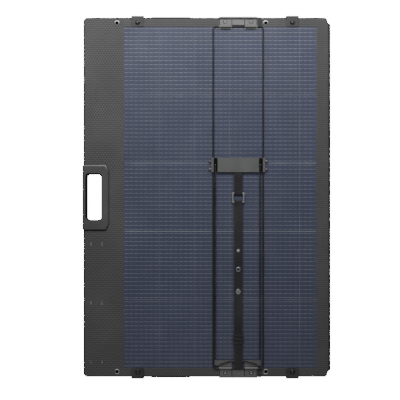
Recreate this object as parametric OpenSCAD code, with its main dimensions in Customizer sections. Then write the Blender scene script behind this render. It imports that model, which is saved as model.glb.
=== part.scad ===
// Folding two-section solar panel, shown closed. Each section carries a cell field,
// a hand grip, four snap loops and a fold-out prop stand on its outer face.
// Section frame: x towards the fold, y along the fold, w outwards from the mid-plane.

/* [Sections] */
// Width of one section, from the grip edge to the fold edge
section_w = 660; // [640:1:700]
// Length of one section along the fold
section_l = 966; // [956:1:1000]
// Distance between the mid-planes of the two closed sections
section_pitch = 13; // [13:0.5:16]
// Height of the rest plane above a section's mid-plane
rest_w = 7.4; // [7.4:0.1:9]
// Corner radius on the grip side
corner_r = 10; // [4:1:16]

/* [Cell field] */
// Width of the clear window over the cells
window_w = 520; // [510:1:524]
// Length of the clear window over the cells
window_l = 920; // [916:1:926]
// Margin between the window and the grip edge
grip_margin = 108; // [104:1:112]
// Number of cell rows along the section
cell_rows = 5; // [3:1:6]
// Pitch of the cell columns
cell_pitch_x = 94.6; // [80:0.1:100]
// Gap between neighbouring cells
cell_gap = 1.6; // [0.8:0.1:3]

/* [Grip] */
// Depth of the grip from its outer edge
grip_w = 70; // [66:1:80]
// Length of the grip
grip_l = 175; // [165:1:190]
// How far the grip stands out past the section's edge
grip_proud = 3; // [1:0.5:5]
// Width of the hand hole
hand_w = 36; // [32:1:38]
// Length of the hand hole
hand_l = 121; // [110:1:124]

/* [Stand] */
// Place of the front stand's centre line
front_stand_x = 86; // [60:1:90]
// Place of the rear stand's centre line
rear_stand_x = -96.5; // [-110:0.5:-60]
// Half the distance between the two side wires
wire_half = 67.2; // [64:0.1:70]
// Half the distance between the end rods
rod_y = 460.5; // [455:0.5:462]
// Radius of the wire
wire_r = 1.8; // [1.5:0.1:2]
// Height of the prop's pivot along the section
pivot_y = 87; // [60:1:120]
// Distance between the prop's two bars
bar_pitch = 120.8; // [118:0.1:122]

/* [Webbing] */
// Width of the webbing strap
strap_w = 22; // [20:1:24]
// Thickness of the webbing strap
strap_t = 1.2; // [1:0.1:1.4]

/* [Fasteners] */
// Hole radius of the corner eyelets
eyelet_r = 2.9; // [2:0.1:3.2]
// Place of the two eyelet columns on the front section
eyelet_x = [-240.7, 160.3];
// Shift of the rear eyelets against the front ones
rear_eyelet_shift = -10.5; // [-16:0.5:-8]
// Place of the two snap loop columns
loop_x = [-185, 232];

/* [Hidden] */
$fn = 48;
e = 0.01;
spine_proud = 4;
shift_x = (grip_proud - spine_proud) / 2;
rear_z = rest_w;
front_z = rest_w + section_pitch;
edge_x = section_w / 2;
edge_y = section_l / 2;
// Layers of a section, as heights from the mid-plane
cover_in_w = -1.6;
core_w = -1;
cell_w = 0;
film_w = 0.4;
cover_w = 0.9;
face_w = 1.6;
// Cell field
win_x0 = -edge_x + grip_margin;
win_x1 = win_x0 + window_w;
field_rim = 5;
cell_pitch_y = window_l / cell_rows;
cell_cols = ceil(window_w / cell_pitch_x);
ribbon_w = 3;
// Notch where the sections are cut away inside the grip
grip_x0 = -edge_x - grip_proud;
grip_x1 = grip_x0 + grip_w;
grip_lap = 10;
tongue_x = grip_x1 - grip_lap;
tongue_y = grip_l / 2 - grip_lap;
hand_cx = grip_x0 + 31.5;
grip_in_w = -6.1;
grip_screws = [[-278, 69], [-278, -69], [-326, 69], [-326, -69]];
// Eyelets
eyelet_y = 470;
eyelet_flange_r = 7;
eyelet_barrel_r = 4.2;
eyelet_flange_t = 0.8;
// Stand
wire_w = 4.5;
wire_bend = 8;
sheet_t = 1;
leaf_x = [17.5, 52];
rivet_x = 35;
rivet_y = 473;
rivet_r = 2;
tongue_top = 454;
tongue_bottom = 443.5;
base_w0 = 1.9;
base_t = 0.6;
ear_r = 3.4;
ear_hole_r = 1.3;
beam_notch_x = 60.4;
bar_r = 1.8;
bar_shift = -1.6;
bar_x = [bar_shift - bar_pitch / 2, bar_shift + bar_pitch / 2];
foot_y0 = -452.5;
foot_y1 = -438;
bar_end_y = foot_y0 + 1;
pivot_r = 1.5;
beam_x = 55.5;
beam_y0 = pivot_y - 19.3;
beam_y1 = pivot_y + 19.2;
clamp_x0 = 66;
clamp_x1 = 73;
ear_y = [pivot_y + 9.8, pivot_y - 11.7];
ear_x = 76.2;
// Strap
strap_w0 = 5.3;
ring_y = -1;
ring_x = 33.4;
ring_l = 27.5;
ring_bar = 4;
ring_w0 = 5.3;
ring_t = 1.3;
slider_y = -383;
stud_ys = [-143.5, -194.4, -253.9];
// Snap loops
loop_w = 35;
loop_axis_y = edge_y + 1.8;
loop_snap_y = edge_y - 12.7;
loop_in = 23.4;
loop_out = 6.2;
leaf_w0 = 1.9;
leaf_t = 1.4;
stud_r = 4.6;
// Fold
crease_x = edge_x + 1;
spine_l = 935;

// Junction box on the inner face of the rear section
box_x = -276;
box_y = -250;

PER_SECTION = ["cover_outer", "cover_inner", "core_sheet", "edge_board", "cells",
    "bus_ribbons", "back_film", "eyelets", "handle_outer", "handle_inner", "screws",
    "brackets", "rivets", "wire_loop", "crossbar", "wire_clamps", "pivot_rod",
    "prop_bars", "foot_bar", "straps", "strap_ring", "strap_snaps", "strap_slider",
    "loop_studs", "loop_1", "loop_2", "loop_3", "loop_4"];

// ---- placing ----

// Puts a section's own parts in the front section
module front_sheet() translate([shift_x, 0, front_z]) children();

// Puts a section's own parts in the rear section, facing the other way
module rear_sheet() translate([shift_x, 0, rear_z]) mirror([0, 0, 1]) children();

// Puts a stand on the front section
module front_stand() translate([shift_x + front_stand_x, 0, front_z]) children();

// Puts a stand on the rear section, turned over about the section's length
module rear_stand() translate([shift_x + rear_stand_x, 0, rear_z]) rotate([0, 180, 0]) children();

// A plate of a 2D outline between two heights
module slab(w0, w1) translate([0, 0, w0]) linear_extrude(w1 - w0) children();

// A block between two corners
module block(low, high) translate(low) cube(high - low);

// A round bar along x
module bar_along_x(x0, x1, r) translate([x0, 0, 0]) rotate([0, 90, 0]) cylinder(r = r, h = x1 - x0);

// A round bar along y
module bar_along_y(y0, y1, r) translate([0, y0, 0]) rotate([-90, 0, 0]) cylinder(r = r, h = y1 - y0);

// A rectangle with round corners, centred
module round_rect(w, l, r) {
    square([w - 2 * r, l], center = true);
    square([w, l - 2 * r], center = true);
    for (sx = [-1, 1], sy = [-1, 1])
        translate([sx * (w / 2 - r), sy * (l / 2 - r)]) circle(r);
}

// ---- section sheets ----

// Outline of a section: round corners at the grip, clipped corners at the fold
module section_outline() {
    difference() {
        union() {
            translate([-edge_x + corner_r, -edge_y]) square([40, section_l]);
            translate([-edge_x, -edge_y + corner_r]) square([40, section_l - 2 * corner_r]);
            for (sy = [-1, 1])
                translate([-edge_x + corner_r, sy * (edge_y - corner_r)]) circle(corner_r);
            polygon([[-edge_x + 30, -edge_y], [edge_x - 10, -edge_y], [edge_x - 5, -edge_y + 5],
                [edge_x - 4.5, -edge_y + 11], [edge_x, -edge_y + 17], [edge_x, edge_y - 17],
                [edge_x - 4.5, edge_y - 11], [edge_x - 5, edge_y - 5], [edge_x - 10, edge_y],
                [-edge_x + 30, edge_y]]);
        }
        translate([-edge_x - 1, -tongue_y]) square([tongue_x + edge_x + 1, 2 * tongue_y]);
    }
}

// The four eyelet places of a section
module at_eyelets(shift) {
    for (x = eyelet_x, sy = [-1, 1]) translate([x + shift, sy * eyelet_y]) children();
}

// A section outline with its eyelet holes
module drilled_outline(shift) {
    difference() {
        section_outline();
        at_eyelets(shift) circle(eyelet_barrel_r + 0.1);
    }
}

// The clear window, with a rim all round
module window(rim) {
    translate([win_x0 - rim, -window_l / 2 - rim]) square([window_w + 2 * rim, window_l + 2 * rim]);
}

// Fabric frame between two heights
module cover(w0, w1, shift) {
    slab(w0, w1) difference() {
        drilled_outline(shift);
        window(0);
    }
}

// Clear laminate that carries the cells
module core_sheet(shift) slab(core_w, cell_w) drilled_outline(shift);

// Stiff border around the cell field
module edge_board(shift) {
    slab(cell_w, cover_w) difference() {
        drilled_outline(shift);
        window(field_rim);
    }
}

// Cells, one thin plate each, the last column cut to the window
module cells() {
    for (row = [0:cell_rows - 1], col = [0:cell_cols - 1]) {
        x0 = win_x0 + col * cell_pitch_x + cell_gap / 2;
        x1 = min(win_x0 + (col + 1) * cell_pitch_x, win_x1) - cell_gap / 2;
        y0 = -window_l / 2 + row * cell_pitch_y + cell_gap / 2;
        block([x0, y0, cell_w], [x1, y0 + cell_pitch_y - cell_gap, film_w]);
    }
}

// Ribbons that join the rows at both ends of the cell field
module bus_ribbons() {
    spans = [[0, 1], [2, 3], [4, 4]];
    for (s = spans) {
        y0 = -window_l / 2 + s[0] * cell_pitch_y + 4;
        y1 = -window_l / 2 + (s[1] + 1) * cell_pitch_y - 4;
        block([win_x0 - ribbon_w - 1, y0, cell_w], [win_x0 - 1, y1, film_w]);
        block([win_x1 + 1, -y1, cell_w], [win_x1 + ribbon_w + 1, -y0, film_w]);
    }
}

// Clear film over the outer side of the cells
module back_film() slab(film_w, cover_w) window(field_rim);

// Eyelets: a flange on each face and a barrel between them
module eyelets(shift) {
    at_eyelets(shift) difference() {
        union() {
            translate([0, 0, face_w]) cylinder(r = eyelet_flange_r, h = eyelet_flange_t);
            translate([0, 0, cover_in_w]) cylinder(r = eyelet_barrel_r, h = face_w - cover_in_w);
            translate([0, 0, cover_in_w - eyelet_flange_t])
                cylinder(r = eyelet_flange_r, h = eyelet_flange_t);
        }
        translate([0, 0, -4]) cylinder(r = eyelet_r, h = 8);
    }
}

// ---- grip ----

// Grip outline with clipped inner corners
module grip_outline() {
    polygon([[grip_x0 + 3, -grip_l / 2], [grip_x1 - 8, -grip_l / 2], [grip_x1, -grip_l / 2 + 17],
        [grip_x1, grip_l / 2 - 17], [grip_x1 - 8, grip_l / 2], [grip_x0 + 3, grip_l / 2],
        [grip_x0, grip_l / 2 - 3], [grip_x0, -grip_l / 2 + 3]]);
}

// The part of the grip that fills the notch in the section sheets
module tongue_outline() {
    intersection() {
        grip_outline();
        translate([grip_x0, -tongue_y + 0.2]) square([tongue_x - grip_x0 - 0.2, 2 * tongue_y - 0.4]);
    }
}

module hand_hole() translate([hand_cx, 0]) round_rect(hand_w, hand_l, 7);

// Outer half of the grip, with blind screw holes
module handle_outer() {
    difference() {
        union() {
            slab(face_w + 0.1, rest_w) grip_outline();
            slab(0, rest_w) tongue_outline();
        }
        slab(-1, rest_w + 1) hand_hole();
        for (p = grip_screws) translate([p[0], p[1], -1]) cylinder(r = 1.55, h = 6);
    }
}

// Inner half of the grip, with counterbored screw holes
module handle_inner() {
    difference() {
        union() {
            slab(grip_in_w, cover_in_w - 0.1) grip_outline();
            slab(grip_in_w, 0) tongue_outline();
        }
        slab(grip_in_w - 1, 1) hand_hole();
        for (p = grip_screws) {
            translate([p[0], p[1], grip_in_w - 1]) cylinder(r = 1.65, h = 8);
            translate([p[0], p[1], grip_in_w - 1]) cylinder(r = 3, h = 2.6);
        }
    }
}

// Screws of the grip
module grip_screw_set() {
    for (p = grip_screws) translate([p[0], p[1], 0]) {
        translate([0, 0, grip_in_w + 0.1]) cylinder(r = 2.8, h = 1.5);
        translate([0, 0, grip_in_w + 1.6]) cylinder(r = 1.5, h = 9.2);
    }
}

// ---- stand ----

// Side view of a bracket leaf, in y and w: tongue, knuckle, lip bent round the edge
module leaf_profile(tongue_y0) {
    bend_y = edge_y + 1.6;
    difference() {
        union() {
            translate([tongue_y0, face_w]) square([bend_y - tongue_y0, sheet_t]);
            translate([rod_y, wire_w]) circle(wire_r + 0.05 + sheet_t);
            translate([bend_y, 0]) intersection() {
                circle(face_w + sheet_t);
                translate([0, -4]) square([4, 8]);
            }
            translate([edge_y - 14, -face_w - sheet_t]) square([bend_y - edge_y + 14, sheet_t]);
        }
        translate([rod_y, wire_w]) circle(wire_r + 0.05);
        translate([bend_y, 0]) circle(face_w);
        translate([edge_y - 20, -face_w]) square([bend_y - edge_y + 20, 2 * face_w]);
    }
}

// Side view of the plain centre plate between the leaves
module plate_profile(y0) {
    bend_y = edge_y + 1.6;
    difference() {
        union() {
            translate([y0, face_w]) square([bend_y - y0, sheet_t]);
            translate([bend_y, 0]) intersection() {
                circle(face_w + sheet_t);
                translate([0, -4]) square([4, 8]);
            }
            translate([edge_y - 14, -face_w - sheet_t]) square([bend_y - edge_y + 14, sheet_t]);
        }
        translate([bend_y, 0]) circle(face_w);
        translate([edge_y - 20, -face_w]) square([bend_y - edge_y + 20, 2 * face_w]);
    }
}

// Stands a side view up, along x between two places
module along_x(x0, x1) translate([x0, 0, 0]) rotate([90, 0, 90]) linear_extrude(x1 - x0) children();

// A bracket at the +y end: two leaves and the plate that joins them
module bracket(tongue_y0) {
    difference() {
        union() {
            for (s = [-1, 1])
                along_x(s > 0 ? leaf_x[0] : -leaf_x[1], s > 0 ? leaf_x[1] : -leaf_x[0])
                    leaf_profile(tongue_y0);
            along_x(-leaf_x[0], leaf_x[0]) plate_profile(rod_y + 4);
        }
        for (s = [-1, 1]) translate([s * rivet_x, rivet_y, 0]) cylinder(r = rivet_r + 0.1, h = 5);
    }
}

module brackets() {
    bracket(tongue_top);
    mirror([0, 1, 0]) bracket(tongue_bottom);
}

// Rivets through the bracket leaves, flush in the fabric
module rivets() {
    for (sx = [-1, 1], sy = [-1, 1]) translate([sx * rivet_x, sy * rivet_y, 0]) {
        translate([0, 0, face_w]) cylinder(r = rivet_r, h = sheet_t);
        translate([0, 0, face_w + sheet_t]) cylinder(r = 4.6, h = 0.9);
    }
}

// Bent wire: two sides, two end rods and four bends
module wire_loop() {
    translate([0, 0, wire_w]) {
        for (s = [-1, 1]) {
            translate([s * wire_half, 0, 0])
                bar_along_y(-rod_y + wire_bend, rod_y - wire_bend, wire_r);
            translate([0, s * rod_y, 0])
                bar_along_x(-wire_half + wire_bend, wire_half - wire_bend, wire_r);
        }
        for (sx = [-1, 1], sy = [-1, 1])
            translate([sx * (wire_half - wire_bend), sy * (rod_y - wire_bend), 0])
                rotate([0, 0, sx > 0 ? (sy > 0 ? 0 : -90) : (sy > 0 ? 90 : 180)])
                    rotate_extrude(angle = 90) translate([wire_bend, 0]) circle(wire_r);
    }
}

// Ears for the clamp screws, both sides
module at_ears() {
    for (sx = [-1, 1], y = ear_y) translate([sx * ear_x, y, 0]) children();
}

// Crossbar: hollow beam on a base plate that runs out under the wires
module crossbar() {
    difference() {
        union() {
            block([-beam_x, beam_y0, base_w0], [beam_x, beam_y1, rest_w]);
            block([-clamp_x1, beam_y0, base_w0], [clamp_x1, beam_y1, base_w0 + base_t]);
            at_ears() translate([0, 0, base_w0]) cylinder(r = ear_r, h = base_t);
        }
        translate([0, pivot_y, wire_w]) bar_along_x(-70, 70, pivot_r + 0.02);
        for (s = [-1, 1])
            block([s * beam_notch_x - 5, pivot_y - 6, 0], [s * beam_notch_x + 5, pivot_y + 6, 5]);
        at_ears() cylinder(r = ear_hole_r, h = 5);
    }
}

// Clamps that hold the crossbar on the wires
module wire_clamps() {
    difference() {
        union() {
            for (s = [-1, 1])
                block([s > 0 ? clamp_x0 : -clamp_x1, beam_y0, base_w0 + base_t],
                    [s > 0 ? clamp_x1 : -clamp_x0, beam_y1, 7]);
            at_ears() translate([0, 0, base_w0 + base_t]) cylinder(r = ear_r, h = 1.8);
        }
        for (s = [-1, 1])
            translate([s * wire_half, 0, wire_w]) bar_along_y(beam_y0 - 1, beam_y1 + 1, wire_r + 0.02);
        at_ears() cylinder(r = ear_hole_r, h = 9);
    }
}

// Screws of the clamps
module clamp_screw_set() {
    at_ears() {
        translate([0, 0, base_w0]) cylinder(r = 1.25, h = 2.4);
        translate([0, 0, 4.3]) cylinder(r = 2.5, h = 1.4);
    }
}

// Pivot rod of the prop, with a head outside each bar
module pivot_rod() {
    translate([0, pivot_y, wire_w]) {
        bar_along_x(-64.2, 61, pivot_r);
        bar_along_x(-65, -64.2, 1.9);
        bar_along_x(61, 61.8, 1.9);
    }
}

// Prop bars with an eye on the pivot rod
module prop_bars() {
    for (x = bar_x) translate([x, 0, wire_w]) difference() {
        union() {
            bar_along_y(bar_end_y, pivot_y - 2.2, bar_r);
            translate([0, pivot_y, 0]) bar_along_x(-1.5, 1.5, 2.75);
        }
        translate([0, pivot_y, 0]) bar_along_x(-4, 4, pivot_r + 0.05);
    }
}

// Foot bar: an arched plate between two sleeves on the bar ends
module foot_bar() {
    difference() {
        union() {
            slab(3.2, 5) polygon([[bar_x[0], foot_y1 - 1], [bar_x[1], foot_y1 - 1],
                [bar_x[1], foot_y0], [bar_x[1] - 12, foot_y0], [bar_shift + 18, foot_y1 - 5],
                [bar_shift - 18, foot_y1 - 5], [bar_x[0] + 12, foot_y0], [bar_x[0], foot_y0]]);
            for (x = bar_x) translate([x, 0, wire_w]) bar_along_y(foot_y0, foot_y1, 2.5);
        }
        for (x = bar_x) translate([x, 0, wire_w]) bar_along_y(bar_end_y - e, foot_y1 + 1, bar_r + e);
    }
}

// One webbing end sewn round a bar of the ring
module strap_end(y_window, y_out) {
    y_bar = y_window < y_out ? ring_y + ring_l / 2 - ring_bar : ring_y - ring_l / 2;
    difference() {
        block([-strap_w / 2, min(y_window, y_out), 4.5], [strap_w / 2, max(y_window, y_out), 7.3]);
        block([-strap_w, y_bar - 0.05, ring_w0 - 0.05], [strap_w, y_bar + ring_bar + 0.05,
            ring_w0 + ring_t + 0.05]);
    }
}

// Both lengths of the prop's webbing
module straps() {
    block([-strap_w / 2, ring_y + 17, strap_w0], [strap_w / 2, beam_y0 - 1.7, strap_w0 + strap_t]);
    strap_end(ring_y + 7.8, ring_y + 17);
    block([-strap_w / 2, -456, strap_w0], [strap_w / 2, ring_y - 17, strap_w0 + strap_t]);
    strap_end(ring_y - 7.8, ring_y - 17);
}

// Flat metal ring between the two lengths
module strap_ring() {
    slab(ring_w0, ring_w0 + ring_t) translate([0, ring_y]) difference() {
        round_rect(ring_x, ring_l, 2);
        square([ring_x - 2 * ring_bar, ring_l - 2 * ring_bar], center = true);
    }
}

// Snaps along the strap: a stud, a socket and a cap
module strap_snaps() {
    top = strap_w0 + strap_t;
    translate([0, stud_ys[0], top]) cylinder(r = 4.5, h = 0.4);
    translate([0, stud_ys[0], top + 0.4]) cylinder(r = 2, h = 0.4);
    translate([0, stud_ys[1], top]) difference() {
        cylinder(r = 6.5, h = 0.8);
        translate([0, 0, 0.2]) cylinder(r = 2.4, h = 1);
    }
    translate([0, stud_ys[2], top]) cylinder(r = 6.9, h = 0.8);
}

// Slider that the strap runs through
module strap_slider() {
    difference() {
        block([-13.5, slider_y - 12, 4.3], [13.5, slider_y + 12, 7.3]);
        block([-11.4, slider_y - 13, 5], [11.4, slider_y + 13, 6.8]);
        for (s = [-1, 1])
            block([-11.4, slider_y + s * 5 - 3, 4], [11.4, slider_y + s * 5 + 3, 8]);
    }
}

// ---- snap loops ----

// A loop at the +y edge: a barrel at the edge, a wall over it and a leaf on the face
module snap_loop() {
    leaf_top = leaf_w0 + leaf_t;
    out_y = edge_y + loop_out;
    difference() {
        union() {
            translate([0, loop_axis_y, 0]) bar_along_x(-loop_w / 2, loop_w / 2, 1.5);
            block([-loop_w / 2, edge_y + 0.3, 0], [loop_w / 2, out_y, leaf_top]);
            slab(leaf_w0, leaf_top) {
                translate([-loop_w / 2, edge_y - loop_in + 6]) square([loop_w, loop_in]);
                translate([-loop_w / 2 + 6, edge_y - loop_in]) square([loop_w - 12, loop_in]);
                for (s = [-1, 1])
                    translate([s * (loop_w / 2 - 6), edge_y - loop_in + 6]) circle(6);
            }
            translate([0, loop_snap_y, leaf_top]) cylinder(r = stud_r + 1.7, h = 0.9);
        }
        translate([0, loop_snap_y, 0]) cylinder(r = stud_r + 0.4, h = leaf_top + 2);
    }
}

// Domed studs on the section's face that the snap loops close over
module loop_studs() {
    dome_w = face_w + 1.8;
    dome_h = rest_w - dome_w;
    dome_r = (stud_r * stud_r + dome_h * dome_h) / (2 * dome_h);
    for (x = loop_x, sy = [-1, 1]) translate([x, sy * loop_snap_y, 0]) {
        translate([0, 0, face_w]) cylinder(r = stud_r, h = dome_w - face_w);
        translate([0, 0, dome_w]) intersection() {
            cylinder(r = stud_r, h = dome_h + 1);
            translate([0, 0, dome_h - dome_r]) sphere(dome_r, $fn = 64);
        }
    }
}

// Loop number 1 to 4: left and right at the top, then at the bottom
module loop_at(n) {
    translate([loop_x[(n - 1) % 2], 0, 0]) mirror([0, n > 2 ? 1 : 0, 0]) snap_loop();
}

// ---- fold and electrics ----

// Fabric strip along the fold
module spine_cover() {
    block([crease_x + 0.5 + shift_x, -spine_l / 2, rear_z + 0.6],
        [edge_x + spine_proud + shift_x, spine_l / 2, front_z - 0.6]);
}

// Flat conductors inside the fold, between the strip and the section edges
module spine_conductors() {
    for (s = [-1, 1])
        block([crease_x + shift_x, s * 300 - 12, rear_z + 1.2],
            [crease_x + 0.45 + shift_x, s * 300 + 12, front_z - 1.2]);
}

// Junction box on the rear section's inner face, with its cable gland
module junction_box() {
    translate([box_x + shift_x, box_y, rear_z + face_w]) {
        difference() {
            translate([-30, -45, 0]) cube([60, 90, 6.4]);
            translate([-28, -43, 1.2]) cube([56, 86, 6]);
            translate([0, -42, 3.3]) bar_along_y(-4, 0, 1.6);
        }
        difference() {
            translate([0, -45, 3.3]) bar_along_y(-12, 0, 3);
            translate([0, -45, 3.3]) bar_along_y(-13, 1, 1.6);
        }
    }
}

module junction_lid() {
    translate([box_x + shift_x, box_y, rear_z + face_w]) {
        translate([-30, -45, 6.4]) cube([60, 90, 1.4]);
        translate([-27.7, -42.7, 5]) difference() {
            cube([55.4, 85.4, 1.4]);
            translate([1.2, 1.2, -1]) cube([53, 83, 2.4]);
        }
    }
}

// ---- nodes ----

fabric = [0.27, 0.27, 0.27];
plastic = [0.2, 0.2, 0.2];
metal = [0.36, 0.36, 0.36];
webbing = [0.14, 0.14, 0.14];

// Everything that a section holds, by the part's name; shift moves the eyelets
module sheet_part(p, shift) {
    if (p == "cover_outer") color(fabric) cover(cover_w, face_w, shift);
    if (p == "cover_inner") color(fabric) cover(cover_in_w, core_w, shift);
    if (p == "core_sheet") color([0.5, 0.52, 0.58]) core_sheet(shift);
    if (p == "edge_board") color([0.25, 0.25, 0.22]) edge_board(shift);
    if (p == "cells") color([0.2, 0.21, 0.28]) cells();
    if (p == "bus_ribbons") color("silver") bus_ribbons();
    if (p == "back_film") color([0.3, 0.32, 0.4]) back_film();
    if (p == "eyelets") color("silver") eyelets(shift);
    if (p == "handle_outer") color(plastic) handle_outer();
    if (p == "handle_inner") color(plastic) handle_inner();
    if (p == "loop_studs") color([0.1, 0.1, 0.1]) loop_studs();
    for (n = [1:4]) if (p == str("loop_", n)) color([0.12, 0.12, 0.12]) loop_at(n);
}

// Everything that a stand holds, by the part's name
module stand_part(p) {
    if (p == "brackets") color(metal) brackets();
    if (p == "rivets") color("gray") rivets();
    if (p == "wire_loop") color([0.12, 0.12, 0.12]) wire_loop();
    if (p == "crossbar") color(metal) crossbar();
    if (p == "wire_clamps") color(metal) wire_clamps();
    if (p == "pivot_rod") color("gray") pivot_rod();
    if (p == "prop_bars") color([0.2, 0.2, 0.2]) prop_bars();
    if (p == "foot_bar") color([0.28, 0.28, 0.26]) foot_bar();
    if (p == "straps") color(webbing) straps();
    if (p == "strap_ring") color("silver") strap_ring();
    if (p == "strap_snaps") color("silver") strap_snaps();
    if (p == "strap_slider") color([0.1, 0.1, 0.1]) strap_slider();
}

for (p = PER_SECTION) {
    union() {
        front_sheet() sheet_part(p, 0);
        front_stand() stand_part(p);
        if (p == "screws") {
            front_sheet() color("dimgray") grip_screw_set();
            front_stand() color("dimgray") clamp_screw_set();
        }
    }
    union() {
        rear_sheet() sheet_part(p, rear_eyelet_shift);
        rear_stand() stand_part(p);
        if (p == "screws") {
            rear_sheet() color("dimgray") grip_screw_set();
            rear_stand() color("dimgray") clamp_screw_set();
        }
    }
}
color(fabric) spine_cover();
color("goldenrod") spine_conductors();
color([0.1, 0.1, 0.1]) junction_box();
color([0.15, 0.15, 0.15]) junction_lid();
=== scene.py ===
"""Folding two-section solar panel with a carry grip, snap loops and a prop stand on each section.

Lengths inside the classes are millimetres in a section's own frame: x towards the fold, y along
the fold and w outwards from the section's mid-plane. A Place turns them into the row frame.
"""
import logging
import math
from dataclasses import dataclass
from enum import Enum
from typing import Any, Sequence, Union

import bmesh
import bpy
from mathutils import Matrix, Vector


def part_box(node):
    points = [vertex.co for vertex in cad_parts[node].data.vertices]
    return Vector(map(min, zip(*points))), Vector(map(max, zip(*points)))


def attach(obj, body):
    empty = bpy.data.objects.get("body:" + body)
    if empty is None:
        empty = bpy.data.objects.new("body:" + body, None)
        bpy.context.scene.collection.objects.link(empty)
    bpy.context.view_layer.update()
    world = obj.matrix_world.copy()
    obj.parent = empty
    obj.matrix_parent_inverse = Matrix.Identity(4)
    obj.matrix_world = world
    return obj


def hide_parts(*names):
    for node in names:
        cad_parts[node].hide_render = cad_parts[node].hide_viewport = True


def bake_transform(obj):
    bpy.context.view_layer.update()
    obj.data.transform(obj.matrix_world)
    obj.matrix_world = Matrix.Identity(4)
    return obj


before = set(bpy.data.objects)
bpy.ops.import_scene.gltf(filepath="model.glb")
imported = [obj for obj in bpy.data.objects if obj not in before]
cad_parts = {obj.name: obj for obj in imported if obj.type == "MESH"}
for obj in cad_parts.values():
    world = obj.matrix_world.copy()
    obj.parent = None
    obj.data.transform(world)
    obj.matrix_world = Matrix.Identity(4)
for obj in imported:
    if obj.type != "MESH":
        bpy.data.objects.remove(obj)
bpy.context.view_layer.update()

LOG = logging.getLogger("solar_panel")
MM = 0.001
Point = tuple[float, float]
Point3 = tuple[float, float, float]
Colour = tuple[float, float, float]
Value = Union[bpy.types.NodeSocket, float, Sequence[float]]
IDENTITY = Matrix.Identity(4)
SHARP_ANGLE = math.radians(50)
BEVEL_ANGLE = math.radians(35)
DUST_COLOUR = (0.32, 0.31, 0.29)
ROUGHNESS_BAND = 0.1
BUMP_STRENGTH = 0.8


# ---- places ----


class Side(Enum):
    """The two sections of the panel."""

    FRONT = "front"
    REAR = "rear"


@dataclass(frozen=True)
class Place:
    """A local frame in millimetres and where it lies in the row frame."""

    side: Side
    matrix: Matrix

    @property
    def section(self) -> str:
        """Body of the section."""
        return f"{self.side.value}_section"

    @property
    def prop(self) -> str:
        """Body of the prop on the section."""
        return f"{self.side.value}_prop"

    def node(self, part: str) -> str:
        """Full name of one of the section's nodes or pieces."""
        return f"{self.side.value}_{part}"

    def row(self, x: float, y: float, w: float) -> tuple[float, ...]:
        """Row frame point of a local point."""
        return tuple(self.matrix @ Vector((x, y, w)))

    def span(self, part: str) -> tuple[Vector, Vector]:
        """Lowest and highest corner of one of the section's nodes, in this frame."""
        ends = [self.matrix.inverted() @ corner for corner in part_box(self.node(part))]
        return Vector(list(map(min, *ends))), Vector(list(map(max, *ends)))


def sheet_place(side: Side) -> Place:
    """Frame of a section's sheets: the rear one is mirrored.

    Args:
        side: Which section.

    Returns:
        The place, found from the section's core sheet.
    """
    low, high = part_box(f"{side.value}_core_sheet")
    up = side is Side.FRONT
    origin = Matrix.Translation(((low.x + high.x) / 2, 0, high.z if up else low.z))
    return Place(side, origin @ Matrix.Diagonal((MM, MM, MM if up else -MM, 1)))


def stand_place(side: Side) -> Place:
    """Frame of a section's stand: the rear one is turned over.

    Args:
        side: Which section.

    Returns:
        The place, found from the stand's wire and the section's core sheet.
    """
    low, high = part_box(f"{side.value}_wire_loop")
    core_low, core_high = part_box(f"{side.value}_core_sheet")
    up = side is Side.FRONT
    origin = Matrix.Translation(((low.x + high.x) / 2, 0, core_high.z if up else core_low.z))
    turn = IDENTITY if up else Matrix.Rotation(math.pi, 4, "Y")
    return Place(side, origin @ turn @ Matrix.Diagonal((MM, MM, MM, 1)))


ROW = Place(Side.REAR, Matrix.Diagonal((MM, MM, MM, 1)))


# ---- shader effects ----


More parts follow.
